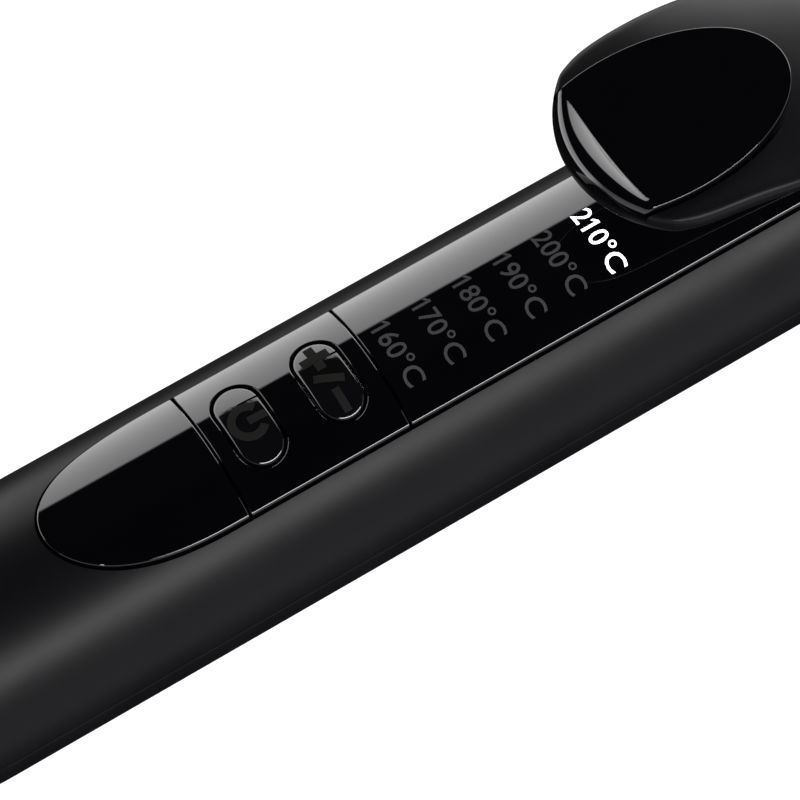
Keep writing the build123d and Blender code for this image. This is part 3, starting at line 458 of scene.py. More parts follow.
# Polished ABS keys: a mirror a little softer than the panel's.
KEY_GLOSS = plain("gloss_key_abs", ("060607", "08080a"), 0.045, IOR=1.55)
# Unfilled nylon mouldings inside: a warm, waxy off-white.
INNER = plain("natural_nylon", ("a8a69e", "b4b2aa"), 0.5)
# Sprayed ceramic coat on aluminium: nearly black, with a soft metallic sheen.
COATED = plain("satin_ceramic_coated_aluminium", ("101012", "17171a"), 0.33, Metallic=0.35)
# Nylon moulded with glass fibre: black, a little dusty and dull.
NYLON = plain("glass_filled_black_nylon", ("0c0c0d", "131314"), 0.48, IOR=1.53)
# Zinc plate on steel: bright, cool and slightly clouded.
STEEL = plain("zinc_plated_steel", ("8f9193", "a8aaac"), 0.3, Metallic=1.0)
# Moulded, frosted polycarbonate: milky, and it lets some light through.
FROSTED = plain("frosted_polycarbonate", ("d8d9d6", "e2e3e0"), 0.35, IOR=1.58, Transmission_Weight=0.2)
# Solder mask rolled on glass laminate: dark green under a smooth gloss.
BOARD = plain("green_solder_mask_laminate", ("0f3d22", "14492a"), 0.3, IOR=1.5)
# Epoxy cases pressed round the components: dull charcoal.
EPOXY = plain("moulded_epoxy_case", ("17181a", "1e1f22"), 0.42)
# Fired and unglazed alumina: chalky ivory with no shine.
ALUMINA = plain("unglazed_alumina_ceramic", ("ded9cc", "e8e4d8"), 0.6)
# Drawn wire: mid-grey metal whose shine is stretched along the wire.
SPRING = plain("drawn_spring_steel", ("6c6e72", "85878b"), 0.28, Metallic=1.0, Anisotropic=0.5)
# Brass from the lathe: yellow and bright.
BRASS = plain("turned_brass", ("b08a48", "c49c56"), 0.25, Metallic=1.0)
# Extruded aluminium: pale grey with a soft shine.
ALUMINIUM = plain("extruded_aluminium", ("b9bbbd", "c8cacc"), 0.35, Metallic=1.0)
# Cast film: clear amber brown with a slick surface.
POLYIMIDE = plain("amber_polyimide_film", ("8a4f12", "a5641c"), 0.15, IOR=1.6)
# Extruded silicone insulation: brick red and rubbery.
SILICONE = plain("red_silicone_lead", ("6d1410", "7c1a14"), 0.5)
# Moulded elastomer: flat black that hardly shines.
RUBBER = plain("black_tpe_rubber", ("0d0d0d", "151515"), 0.75)


def paint(piece, material):
    """Leave a piece with this one material."""
    piece.data.materials.clear()
    piece.data.materials.append(material)


# ---------------------------------------------------------------- handle shells
TAIL_R = 10.5 * MM
TAIL_LENGTH = 17 * MM
GRIP_END_X = KEYS_END_X + 74.8 * MM
NECK_X = GRIP_END_X + 2 * MM
SWIVEL_BORE_R = 6.05 * MM
RIM = 0.18 * MM


def shell_profile():
    """The handle's closed wall section, outside first and then back along the inside."""
    line = arc((TAIL_X, TAIL_R), (TAIL_X + TAIL_LENGTH, HANDLE_R), 24)
    line += [(GRIP_END_X, HANDLE_R), (NECK_X, NECK_R), (FRONT_X - RIM, NECK_R), (FRONT_X, NECK_R - RIM)]
    socket_x = low("barrel_socket").x
    inner = [(FRONT_X, BARREL_R), (socket_x, BARREL_R), (socket_x, NECK_R - WALL)]
    inner += [(NECK_X - WALL, NECK_R - WALL), (GRIP_END_X - WALL, HANDLE_R - WALL)]
    inner += [(TAIL_X + TAIL_LENGTH + WALL, HANDLE_R - WALL)]
    inner += [(TAIL_X + 2.4 * MM, TAIL_R - 1 * MM), (TAIL_X + 2.4 * MM, SWIVEL_BORE_R), (TAIL_X, SWIVEL_BORE_R)]
    return line + inner + [line[0]]


def tongue_outline(start, end, half, count=48):
    """The rounded rear end of the panel, from one side round to the other, and straight across the front."""
    points = []
    for i in range(2 * count + 1):
        t = pi / 2 - pi * i / (2 * count)
        x = start - (start - end) * cos(t) ** 0.7 if abs(cos(t)) > 1e-9 else start
        points.append((x, half * sin(t)))
    return points


def wrap(piece, radius):
    """Bend a flat block round the handle: its heights become depths below a radius."""
    for vertex in piece.data.vertices:
        x, y, depth = vertex.co
        vertex.co = (x, y, sqrt((radius + depth) ** 2 - y**2))
    return piece


def true_normals(piece, radius):
    """Give the top skin the round surface's own normals, so that reflections run straight up to its edges."""
    mesh = piece.data
    normals = []
    for polygon in mesh.polygons:
        for i in polygon.vertices:
            x, y, z = mesh.vertices[i].co
            on_top = abs(hypot(y, z) - radius) < 0.002 * MM
            normals.append((0, y / radius, z / radius) if on_top else polygon.normal.copy())
    mesh.normals_split_custom_set(normals)


def pocket_cutter():
    """The room for the whole panel, a little larger all round."""
    half = PANEL_HALF + POCKET_GAP
    front = LENS_END_X + POCKET_GAP
    outline = tongue_outline(INLAY_END_X, INLAY_TIP_X - POCKET_GAP, half) + [(front, -half), (front, half)]
    piece = slab("pocket", outline, -PANEL_THICK, 2 * MM)
    return wrap(slice_up(piece, 1, -half, half, 0.4 * MM), PANEL_R)


def upper_shell():
    """The top half of the handle, with the panel's pocket and the room for the keys and the light guide."""
    shell = half_of(turned("upper_shell", shell_profile(), 256), True)
    cut(shell, pocket_cutter())
    for x in (POWER_X, ROCKER_X):
        cut(shell, slab("window", key_outline(x, 1 * MM), 8 * MM, 20 * MM))
    guide_low, guide_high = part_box("light_guide")
    reach = Vector((0.3, 0.3, 3)) * MM
    cut(shell, block("window", guide_low - reach, guide_high + reach))
    cut(shell, rod("bore", BORE_R, (PIVOT.x, -20 * MM, PIVOT.z), (PIVOT.x, 20 * MM, PIVOT.z)))
    seam_edge(shell)
    return dress(finish_mesh(shell), "handle", "handle_upper_shell", SATIN)


def seam_edge(shell):
    """Break the long seam edges, so that the two shells meet in a fine line."""
    pick(shell)
    mesh = shell.data
    layer = mesh.attributes.new("bevel_weight_edge", "FLOAT", "EDGE")
    for edge in mesh.edges:
        ends = [mesh.vertices[i].co for i in edge.vertices]
        at_seam = all(abs(end.z) < 1e-6 and hypot(end.y, end.z) > NECK_R - 0.1 * MM for end in ends)
        middle = (ends[0].x + ends[1].x) / 2
        layer.data[edge.index].value = 1.0 if at_seam and TAIL_X + 20 * MM < middle < GRIP_END_X else 0.0
    modify(shell, "BEVEL", width=0.15 * MM, segments=2, limit_method="WEIGHT", use_clamp_overlap=False)


def lower_shell():
    """The bottom half of the handle, with the stand's tray and lugs, the foot's recess and screw holes."""
    shell = half_of(turned("lower_shell", shell_profile(), 256), False)
    foot_low, foot_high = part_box("rear_foot")
    stand_low = low("stand")
    tray_top = stand_low.z + 3.5 * MM
    floor_plate = block(
        "tray_floor",
        (stand_low.x - 0.3 * MM, -9 * MM, tray_top),
        (GRIP_END_X - 1 * MM, 9 * MM, tray_top + 1.6 * MM),
    )
    unite(shell, floor_plate)
    tray_low = (stand_low.x - 0.3 * MM, -20 * MM, -20 * MM)
    cut(shell, block("tray", tray_low, (NECK_X + 0.3 * MM, 20 * MM, tray_top)))
    edge = Vector((0.1, 0.1, 0.1)) * MM
    cut(shell, block("recess", foot_low - edge, foot_high + edge))
    for x in SCREW_XS:
        cut(shell, rod("screw_hole", 2.7 * MM, (x, 0, -20 * MM), (x, 0, -8 * MM)))
    cut(shell, rod("bore", BORE_R, (PIVOT.x, -20 * MM, PIVOT.z), (PIVOT.x, 20 * MM, PIVOT.z)))
    pin_low, pin_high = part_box("stand_pin")
    pin_x = (pin_low.x + pin_high.x) / 2
    pin_z = (pin_low.z + pin_high.z) / 2
    for side in (-1, 1):
        lug = rod("lug", 1.7 * MM, (pin_x, side * 5.5 * MM, pin_z), (pin_x, side * 8.5 * MM, pin_z))
        web_low = (pin_x - 1.7 * MM, min(side * 5.5, side * 8.5) * MM, pin_z)
        web_high = (pin_x + 1.7 * MM, max(side * 5.5, side * 8.5) * MM, -NECK_R + 3.5 * MM)
        unite(lug, block("web", web_low, web_high))
        unite(shell, lug)
    seam_edge(shell)
    return dress(finish_mesh(shell), "handle", "handle_lower_shell", SATIN)


screw_low, screw_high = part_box("shell_screws")
SCREW_XS = (screw_low.x + 2.5 * MM, screw_high.x - 2.5 * MM)
upper_shell()
lower_shell()


# ---------------------------------------------------------------- the gloss panel
EDGE = 0.22 * MM


def gloss_piece(name, node, outline, windows=()):
    """One curved piece of the panel: cut and rounded while flat, then bent round the handle."""
    piece = slab(name, outline, -PANEL_THICK, 0)
    for x in windows:
        cut(piece, slab("window", key_outline(x, KEY_GAP), -2 * PANEL_THICK, PANEL_THICK))
    soften(piece, EDGE, 4, 50)
    xs = [x for x, y in outline]
    slice_up(piece, 1, -PANEL_HALF, PANEL_HALF, 0.25 * MM)
    slice_up(piece, 0, min(xs), max(xs), 1.5 * MM)
    wrap(piece, PANEL_R)
    finish_mesh(piece, 180)
    true_normals(piece, PANEL_R)
    return dress(piece, "handle", node, GLOSS)


def straight_outline(start, end):
    """A stretch of the panel in plan."""
    return [(start, -PANEL_HALF), (end, -PANEL_HALF), (end, PANEL_HALF), (start, PANEL_HALF)]


gloss_piece("tail_inlay_skin", "tail_inlay", tongue_outline(INLAY_END_X, INLAY_TIP_X, PANEL_HALF))
keys_outline = straight_outline(KEYS_START_X, KEYS_END_X)
gloss_piece("button_panel_skin", "button_panel", keys_outline, (POWER_X, ROCKER_X))
gloss_piece("display_lens_skin", "display_lens", straight_outline(LENS_START_X, LENS_END_X))


# ---------------------------------------------------------------- keys and their signs
KEY_TOP = high("power_button").z
KEY_LOW = low("power_button").z
CROWN_ACROSS = 11 * MM
CROWN_ALONG = 16 * MM
SIGN_RISE = 0.12 * MM


def key_height(dx, y):
    """The pillow-shaped top of a key."""
    return KEY_TOP - y**2 / (2 * CROWN_ACROSS) * 0.82 - dx**2 / (2 * CROWN_ALONG)


def key(name, node, body, centre_x, flange):
    """A round-ended key: domed top, rolled edge, upright wall and the flange that keeps it in."""
    roll = 0.35 * MM
    inner = [(-KEY_LENGTH / 2 * (1 - i / 14), 0) for i in range(13)]
    rolled = [(-roll * (1 - sin(t)), roll * (1 - cos(t))) for t in (0, 0.3, 0.6, 0.9, 1.2, pi / 2)]
    profile = inner + rolled
    wall_end = len(profile)
    count = len(key_outline(0, 0)) - 1

    def place(u, v):
        step = round(u * (wall_end + 3))
        grow = profile[step][0] if step < wall_end else (flange if step > wall_end else 0)
        outline = key_outline(centre_x, grow)
        x, y = outline[round((v + 1) / 2 * count) % len(outline)]
        if step < wall_end:
            return Vector((x, y, key_height(x - centre_x, y) - profile[step][1]))
        if step == wall_end + 3:
            return Vector((centre_x, y, KEY_LOW))
        return Vector((x, y, KEY_LOW + (1 * MM if step <= wall_end + 1 else 0)))

    piece = surface(name, wall_end + 3, count + 1, place)
    return dress(finish_mesh(piece, 40), body, node, KEY_GLOSS)


def sign_part(name, centre_x, place_flat, rows, columns):
    """A raised stroke laid on a key's top. place_flat gives (along X, across Y) from u and v."""

    def place(u, v):
        dx, y = place_flat(u, v)
        return Vector((centre_x + dx, y, key_height(dx, y) + SIGN_RISE))

    piece = surface(name, rows, columns, place)
    modify(piece, "SOLIDIFY", thickness=0.3 * MM, offset=-1)
    return soften(piece, 0.05 * MM, 2, 50)


def bar(length, width, angle, centre):
    """A straight stroke in the key's plan, turned from the X direction."""

    def flat(u, v):
        a, b = (u - 0.5) * length, v * width / 2
        return (centre[0] + a * cos(angle) - b * sin(angle), centre[1] + a * sin(angle) + b * cos(angle))

    return flat


def ring_stroke(radius, width, gap):
    """A round stroke open towards +X."""

    def flat(u, v):
        angle = gap + (2 * pi - 2 * gap) * u
        r = radius + v * width / 2
        return (r * cos(angle), -r * sin(angle))

    return flat


def sign(name, body, centre_x, strokes):
    """A raised sign made of several strokes."""
    parts = [sign_part(name, centre_x, flat, rows, columns) for flat, rows, columns in strokes]
    for part in parts:
        part.select_set(True)
    bpy.context.view_layer.objects.active = parts[0]
    for part in parts:
        part.select_set(True)
    bpy.ops.object.join()
    return dress(finish_mesh(parts[0], 40), body, None, SIGN)


key("power_key_cap", "power_button", "power_key", POWER_X, 0.7 * MM)
key("temperature_key_cap", "temperature_button", "temperature_key", ROCKER_X, 0)
sign(
    "power_sign",
    "power_key",
    POWER_X,
    [
        (ring_stroke(2.15 * MM, 1.1 * MM, radians(40)), 64, 6),
        (bar(2.6 * MM, 1.1 * MM, 0, (1.3 * MM, 0)), 16, 6),
    ],
)
PLUS_Y = 3.35 * MM
PLUS = 4.0 * MM
STROKE = 1.3 * MM
stub = (PLUS - STROKE) / 2
sign(
    "plus_minus_sign",
    "temperature_key",
    ROCKER_X,
    [
        (bar(PLUS, STROKE, 0, (0, PLUS_Y)), 24, 6),
        (bar(stub, STROKE, pi / 2, (0, PLUS_Y + (STROKE + stub) / 2)), 12, 6),
        (bar(stub, STROKE, pi / 2, (0, PLUS_Y - (STROKE + stub) / 2)), 12, 6),
        (bar(4.0 * MM, 1.1 * MM, radians(-90 + 64), (0, -0.25 * MM)), 24, 6),
        (bar(3.4 * MM, 1.1 * MM, pi / 2, (-0.1 * MM, -PLUS_Y - 0.2 * MM)), 24, 6),
    ],
)


# ---------------------------------------------------------------- temperature legends
LEGEND_X = 92.65 * MM
LEGEND_STEP = 6.13 * MM
LEGEND_START_Y = 3.4 * MM
LEGEND_LENGTH = 9.8 * MM
DIGIT_HEIGHT = 2.95 * MM


def flag_the_one(piece, place):
    """The slanted flag of the figure 1, which stands in this place of the word."""
    figure = [v.co.copy() for v in piece.data.vertices if place / 2 < v.co.x < (place + 1) / 2]
    top, foot = max(c.y for c in figure), min(c.y for c in figure)
    left = min(c.x for c in figure)
    tall = top - foot
    bpy.ops.object.mode_set(mode="EDIT")
    bpy.ops.mesh.primitive_plane_add(size=1)
    bpy.ops.object.mode_set(mode="OBJECT")
    corners = sorted(piece.data.vertices[-4:], key=lambda v: (v.co.x, v.co.y))
    drops = ((-0.2, 0.33), (-0.2, 0.18), (0.02, 0.17), (0.02, 0.0))
    for vertex, (along, down) in zip(corners, drops):
        vertex.co = (left + along * tall, top - down * tall, 0)


def legend(degrees, x, material):
    """One printed temperature, read towards -Y, its tops towards +X, laid on the lens."""
    bpy.ops.object.select_all(action="DESELECT")
    bpy.ops.object.text_add()
    words = bpy.context.object
    words_said = f"{degrees}\u00b0C"
    words.data.body = words_said
    words.data.offset = 0.008
    words.data.resolution_u = 4
    words.data.fill_mode = "FRONT"
    bpy.ops.object.convert(target="MESH")
    piece = active(f"legend_{degrees}")
    if "1" in words_said:
        flag_the_one(piece, words_said.index("1"))
    xs = [v.co.x for v in piece.data.vertices]
    ys = [v.co.y for v in piece.data.vertices]
    stretch = LEGEND_LENGTH / (max(xs) - min(xs))
    raise_by = DIGIT_HEIGHT / (max(ys) - min(ys))
    left, middle = min(xs), (max(ys) + min(ys)) / 2
    for vertex in piece.data.vertices:
        along, height = (vertex.co.x - left) * stretch, (vertex.co.y - middle) * raise_by
        vertex.co = (x + height, LEGEND_START_Y - along, 0)
    slice_up(piece, 1, LEGEND_START_Y, LEGEND_START_Y - LEGEND_LENGTH, -0.4 * MM)
    for vertex in piece.data.vertices:
        vertex.co = on_panel(vertex.co.x, vertex.co.y, PANEL_R + 0.012 * MM)
    paint(piece, material)
    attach(piece, "handle")
    return piece


for i, degrees in enumerate((160, 170, 180, 190, 200)):
    legend(degrees, LEGEND_X + LEGEND_STEP * i, LEGEND_DIM)
legend(210, LEGEND_X + LEGEND_STEP * 5, LEGEND_LIT)


# ---------------------------------------------------------------- clamp lever
TIP_X = LEVER_LOW.x
NOSE_X = LEVER_HIGH.x
LEVER_TOP_Z = LEVER_HIGH.z
TIP_ARC_R = 16.2 * MM
CORNER_HALF = 13.1 * MM
LEVER_THICK = 3.1 * MM
PAD_HALF_WIDTH = (PAD_HIGH.y - PAD_LOW.y) / 2
PAD_HALF_LENGTH = 19.6 * MM
PAD_X = PAD_HIGH.x - PAD_HALF_LENGTH
PAD_GAP = 0.34 * MM
PAD_TOP = PAD_HIGH.z - 0.7 * MM
DISH = 0.95 * MM
CREASE_X = 124.8 * MM
CREST_X = 121.7 * MM
LIP_TOP = PAD_HIGH.z
# Height of the middle line, half-width, and fall from the middle line to the side, along the lever.
CREST = [(TIP_X + a * MM, LEVER_TOP_Z - fall * MM) for a, fall in
         ((0, 0.35), (6, 0.05), (12, 0), (22, 0.5), (32, 1.9), (44, 5.4), (56, 10.9), (67, 15.7), (77, 18.3))]
HALVES = [(TIP_X + a * MM, half * MM) for a, half in
          ((6.6, 13.4), (10, 14.8), (18, 15.8), (26, 16.6), (36, 16.95), (65, 16.9), (72, 16.2), (77, 13.5))]
FALLS = [(TIP_X + a * MM, fall * MM) for a, fall in
         ((0, 0.3), (10, 0.3), (15, 0.4), (18, 0.7), (22, 1.4), (32, 3.8), (44, 6.4), (56, 7.4), (77, 6.4))]


def lever_skin(u, v):
    """The lever's outer surface: a saddle that widens and droops from the rounded tip to the nose."""
    y0 = v * CORNER_HALF
    front = TIP_X + TIP_ARC_R - sqrt(TIP_ARC_R**2 - y0**2)
    x = front + (NOSE_X - front) * u**1.15
    y = v * max(CORNER_HALF, smooth(HALVES, x))
    return Vector((x, y, smooth(CREST, x) - smooth(FALLS, x) * abs(v) ** 2.4))


def cheek(side):
    """One side wall, reaching down to a round eye about the hinge."""
    eye = 7 * MM
    turns = [pi + pi * i / 24 for i in range(25)]
    outline = [(PIVOT.x + eye * cos(t), PIVOT.z + eye * sin(t)) for t in turns]
    eye_end_x = outline[-1][0]
    nose_low_z = 9 * MM
    for i in range(1, 13):
        outline.append((eye_end_x + (NOSE_X - eye_end_x) * i / 12, PIVOT.z + (nose_low_z - PIVOT.z) * i / 12))
    count = len(outline) - 1

    def place(u, v):
        step = round(u * count)
        x_low, z_low = outline[step]
        x_top = PIVOT.x - eye + 2 * eye * step / 24 if step <= 24 else x_low
        t = (v + 1) / 2
        x = x_top + (x_low - x_top) * t
        top = smooth(CREST, x_top) - smooth(FALLS, x_top) - 0.9 * MM
        half = smooth(HALVES, x)
        return Vector((x, side * (half - 0.02 * MM), top + (z_low - top) * t))

    piece = surface("cheek", count, 24, place)
    return modify(piece, "SOLIDIFY", thickness=2.5 * MM, offset=-side)


def lever():
    """The thumb lever: a thick saddle with two cheeks, hollow over the neck, with the pad's pocket."""
    piece = surface("lever_skin", 34, 16, lever_skin)
    modify(piece, "SOLIDIFY", thickness=LEVER_THICK, offset=-1)
    modify(piece, "SUBSURF", levels=3, render_levels=3)
    finish_mesh(piece)
    for side in (-1, 1):
        unite(piece, finish_mesh(cheek(side)))
    arch_r = low("spoon_rivets").z + 1.4 * MM
    cut(piece, rod("arch", arch_r, (low("clamp_spoon").x - 2 * MM, 0, 0), (NOSE_X + 2 * MM, 0, 0), 128))
    pocket = ellipse_outline(PAD_X, PAD_HALF_LENGTH + PAD_GAP, PAD_HALF_WIDTH + PAD_GAP)
    cut(piece, slab("pad_pocket", pocket, PAD_LOW.z, 40 * MM))
    cut(piece, rod("bore", BORE_R, (PIVOT.x, -18 * MM, PIVOT.z), (PIVOT.x, 18 * MM, PIVOT.z)))
    return dress(finish_mesh(piece, 40), "clamp", "lever_body", SATIN)


def pad_rim(angle):
    """The pad's edge in plan: an ellipse, cut short by the arc of the lip."""
    ex, ey = PAD_HALF_LENGTH * cos(angle), PAD_HALF_WIDTH * sin(angle)
    reach = hypot(ex, ey)
    dx, dy = ex / reach, ey / reach
    if dx >= 0:
        return reach, dx, dy
    # meet the lip's arc, whose centre lies on the lever's middle line
    centre = PAD_LOW.x + TIP_ARC_R - PAD_X
    b = dx * centre
    far = b + sqrt(b * b - centre**2 + TIP_ARC_R**2)
    return min(reach, far), dx, dy


def pad_height(x, y):
    """A shallow dish, a thin raised rim, and a lip that rises past a nearly straight crease."""
    dx, dy = (x - PAD_X) / PAD_HALF_LENGTH, y / PAD_HALF_WIDTH
    rim = min(1, hypot(dx, dy))
    dish = PAD_TOP - DISH * (1 - rim**2.2) * 0.9
    bend = TIP_ARC_R - sqrt(TIP_ARC_R**2 - y**2)
    crest = CREST_X + bend
    crease = max(CREASE_X + bend * 0.12, crest + 0.02 * MM)
    if x >= crease:
        return dish
    rise = LIP_TOP - dish
    wide = crease - crest
    fade = max(0.0, min(1.0, wide / (CREASE_X - CREST_X)))
    if x >= crest:
        return dish + rise * fade * (1 - (1 - (crease - x) / wide) ** 1.6)
    drop = (crest - x) / (CREST_X - PAD_LOW.x)
    top = dish + rise * fade
    return top - 1.7 * MM * (1 - sqrt(max(0.0, 1 - drop**2)))


def pad():
    """The glossy thumb pad, laid out in rings and given a skirt that stands in its pocket."""
    rings, segments = 64, 192

    def place(u, v):
        reach, dx, dy = pad_rim(v * pi)
        scale = u**0.8 * reach
        x, y = PAD_X + scale * dx, scale * dy
        return Vector((x, y, pad_height(x, y)))

    piece = surface("thumb_pad_skin", rings, segments, place)
    pick(piece)
    bpy.ops.object.mode_set(mode="EDIT")
    bpy.ops.mesh.select_all(action="SELECT")
    bpy.ops.mesh.remove_doubles(threshold=1e-6)
    bpy.ops.mesh.select_all(action="DESELECT")
    bpy.ops.mesh.select_non_manifold()
    bpy.ops.mesh.extrude_region_move(TRANSFORM_OT_translate={"value": (0, 0, -1 * MM)})
    bpy.ops.transform.resize(value=(1, 1, 0), center_override=(0, 0, PAD_LOW.z))
    bpy.ops.mesh.edge_face_add()
    bpy.ops.object.mode_set(mode="OBJECT")
    soften(piece, 0.22 * MM, 3, 40)
    return dress(finish_mesh(piece, 50), "clamp", "thumb_pad", GLOSS)


lever()
pad()


# ---------------------------------------------------------------- spoon, barrel, collar and cool tip
BARREL_START_X = low("barrel_tube").x
BARREL_END_X = high("barrel_tube").x
COLLAR_END_X = high("barrel_collar").x
SPOON_START_X = low("clamp_spoon").x
SPOON_END_X = high("clamp_spoon").x
SPOON_THICK = 0.8 * MM
SPOON_HALF_ARC = radians(62)
SPOON_FLARE = 2.6 * MM


def spoon():
    """The sprung tongue that holds the hair: a trough with a joggle over the collar and a flared tip."""
    rest = BARREL_R + 0.3 * MM
    root = NECK_R + 0.4 * MM
    line = [(SPOON_START_X, root), (COLLAR_END_X + 0.6 * MM, root), (COLLAR_END_X + 6.4 * MM, rest)]
    line += [(SPOON_START_X + 60 * MM, rest), (SPOON_END_X - 6.2 * MM, rest)]
    line += [(SPOON_END_X - 2.4 * MM, rest + 1 * MM), (SPOON_END_X, rest + SPOON_FLARE)]
    round_length = 9 * MM

    def place(u, v):
        x = SPOON_START_X + (SPOON_END_X - SPOON_START_X) * u
        past = max(0, (x - (SPOON_END_X - round_length)) / round_length)
        half = SPOON_HALF_ARC * (1 - 0.38 * past**2.6)
        radius = smooth(line, x)
        return Vector((x, radius * sin(half * v), radius * cos(half * v)))

    piece = surface("clamp_spoon_skin", 190, 48, place)
    modify(piece, "SOLIDIFY", thickness=SPOON_THICK, offset=1)
    soften(piece, 0.22 * MM, 3, 50)
    rivet_x = (low("spoon_rivets").x + high("spoon_rivets").x) / 2
    for y in (-5 * MM, 5 * MM):
        cut(piece, rod("rivet_hole", 1.4 * MM, (rivet_x, y, 10 * MM), (rivet_x, y, 20 * MM)))
    return dress(finish_mesh(piece, 40), "clamp", "clamp_spoon", COATED)


def ring_body(name, node, body, stations, material):
    """A turned piece from (x, radius) stations in millimetres, closed back on its start."""
    line = [(x * MM, radius * MM) for x, radius in stations]
    piece = turned(name, line + [line[0]])
    return dress(finish_mesh(piece, 30), body, node, material)


def grooves(start, radius, depth, width, pitch, count):
    """Outline of small turned grooves along a cylinder."""
    points = []
    for i in range(count):
        x = start + pitch * i
        points += [(x, radius), (x + width * 0.25, radius - depth)]
        points += [(x + width * 0.75, radius - depth), (x + width, radius)]
    return points


barrel_r = BARREL_R / MM
bore_r = barrel_r - 1.0
x0, x1 = BARREL_START_X / MM, BARREL_END_X / MM
ring_body(
    "barrel_skin",
    "barrel_tube",
    "handle",
    [(x0, bore_r), (x0, barrel_r - 0.1), (x0 + 0.1, barrel_r)]
    + [(x0 + 6 + 4 * i, barrel_r) for i in range(32)]
    + [(x1 - 0.1, barrel_r), (x1, barrel_r - 0.1), (x1, bore_r)],
    COATED,
)
collar_r = NECK_R / MM
c0, c1 = FRONT_X / MM, COLLAR_END_X / MM
ring_body(
    "collar_skin",
    "barrel_collar",
    "handle",
    [(c0, barrel_r), (c0, collar_r - 0.15), (c0 + 0.15, collar_r)]
    + grooves(c0 + 1.8, collar_r, 0.25, 0.7, 1.5, 2)
    + [(c1 - 0.6, collar_r), (c1 - 0.15, collar_r - 0.2), (c1, collar_r - 0.6), (c1, barrel_r)],
    NYLON,
)
TIP_START_X, TIP_END_X = low("cool_tip").x / MM, high("cool_tip").x / MM
tip_r = high("cool_tip").z / MM
dome = 10.0
turns = [pi / 2 * i / 18 for i in range(19)]
dome_line = [(TIP_END_X - dome + dome * sin(t), 5.0 + (tip_r - 5.0) * cos(t) ** 0.75) for t in turns]
ring_body(
    "cool_tip_skin",
    "cool_tip",
    "handle",
    [(TIP_START_X, 3.0), (TIP_START_X, bore_r - 0.2), (TIP_START_X + 0.2, bore_r), (x1, bore_r)]
    + [(x1, tip_r - 0.25), (x1 + 0.25, tip_r)]
    + grooves(x1 + 2.5, tip_r, 0.45, 1.2, 2.4, 4)
    + dome_line
    + [(TIP_END_X, 2.9), (TIP_END_X - 0.2, 2.7), (TIP_END_X - 3, 2.7), (TIP_END_X - 3, 1.25)]
    + [(TIP_END_X - 15, 1.25), (TIP_END_X - 15, 0.3)],
    NYLON,
)
spoon()


# ---------------------------------------------------------------- cord swivel, stand and foot
def swivel():
    """The turning collar where the cord would leave, with its stem for the contact rings."""
    bore = 3.5
    back = 7.7
    turns = [pi / 2 * i / 16 for i in range(17)]
    rounded = [(back - 1 - (back - 1) * cos(t) ** 0.9, 6.0 + 3.5 * sin(t)) for t in turns]
    line = [(0.25, bore), (0, bore + 0.25), (0, 5.8)] + [p for p in rounded if p[0] > 0.1]
    line += [(back - 0.3, 9.5), (back, 9.1), (back, 6.0), (10.7, 6.0), (10.7, 8.0), (12.7, 8.0), (12.7, 6.0)]
    line += [(15.9, 6.0), (15.9, 4.6), (25.8, 4.6), (26.0, 4.4), (26.0, bore)]
    return ring_body("cord_swivel_skin", "cord_swivel", "swivel", line, NYLON)


def stand():
    """The flat folding foot: rounded corners, a thumb notch, three grip ribs and its hinge barrel."""
    lowest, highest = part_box("stand")
    pin_low, pin_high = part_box("stand_pin")
    pin = Vector(((pin_low.x + pin_high.x) / 2, 0, (pin_low.z + pin_high.z) / 2))
    half = highest.y
    corner = 4 * MM
    outline = [(pin.x, -half), (pin.x, half)]
    for side, start in ((1, pi / 2), (-1, pi)):
        for i in range(13):
            t = start + pi / 2 * i / 12
            outline.append((lowest.x + corner + corner * cos(t), side * (half - corner) + corner * sin(t)))
    piece = slab("stand_skin", outline, lowest.z, lowest.z + 3.2 * MM)
    soften(piece, 0.4 * MM, 3, 50)
    unite(piece, rod("knuckle", 1.7 * MM, (pin.x, -half, pin.z), (pin.x, half, pin.z)))
    cut(piece, rod("notch", 4.5 * MM, (lowest.x, 0, -30 * MM), (lowest.x, 0, 0)))
    for i in range(3):
        x = lowest.x + (8.5 + 2.2 * i) * MM
        cut(piece, rod("rib", 0.6 * MM, (x, -6 * MM, lowest.z), (x, 6 * MM, lowest.z), 24))
    for side in (-1, 1):
        near, far = sorted((side * 5.2 * MM, side * 8.8 * MM))
        cut(piece, block("lug_gap", (pin.x - 4.7 * MM, near, -40 * MM), (pin.x + 4.7 * MM, far, 0)))
    cut(piece, rod("bore", 1.05 * MM, (pin.x, -20 * MM, pin.z), (pin.x, 20 * MM, pin.z)))
    return dress(finish_mesh(piece, 40), "stand", "stand", NYLON)


def rear_foot():
    """A soft pad with rounded corners and three shallow grip lines."""
    lowest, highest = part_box("rear_foot")
    middle = (lowest + highest) / 2
    reach = (highest - lowest) / 2
    corner = 2 * MM
    outline = []
    for sx, sy, start in ((1, 1, 0), (-1, 1, pi / 2), (-1, -1, pi), (1, -1, 3 * pi / 2)):
        for i in range(9):
            t = start + pi / 2 * i / 8
            x = middle.x + sx * (reach.x - corner) + corner * cos(t)
            outline.append((x, sy * (reach.y - corner) + corner * sin(t)))
    piece = slab("rear_foot_skin", outline, lowest.z, highest.z)
    soften(piece, 0.3 * MM, 3, 50)
    for i in (-1, 0, 1):
        x = middle.x + i * 2.4 * MM
        cut(piece, rod("line", 0.35 * MM, (x, -3.4 * MM, lowest.z), (x, 3.4 * MM, lowest.z), 24))
    return dress(finish_mesh(piece, 40), "handle", "rear_foot", RUBBER)


swivel()
stand()
rear_foot()


# ---------------------------------------------------------------- camera, floor and light
CAMERA_AT = Vector((-18.13, -209.94, 441.29)) * MM
CAMERA_YAW = radians(12.86)
CAMERA_TILT = radians(25.51)
CAMERA_ROLL = radians(29.46)
LENS_MM = 171.6


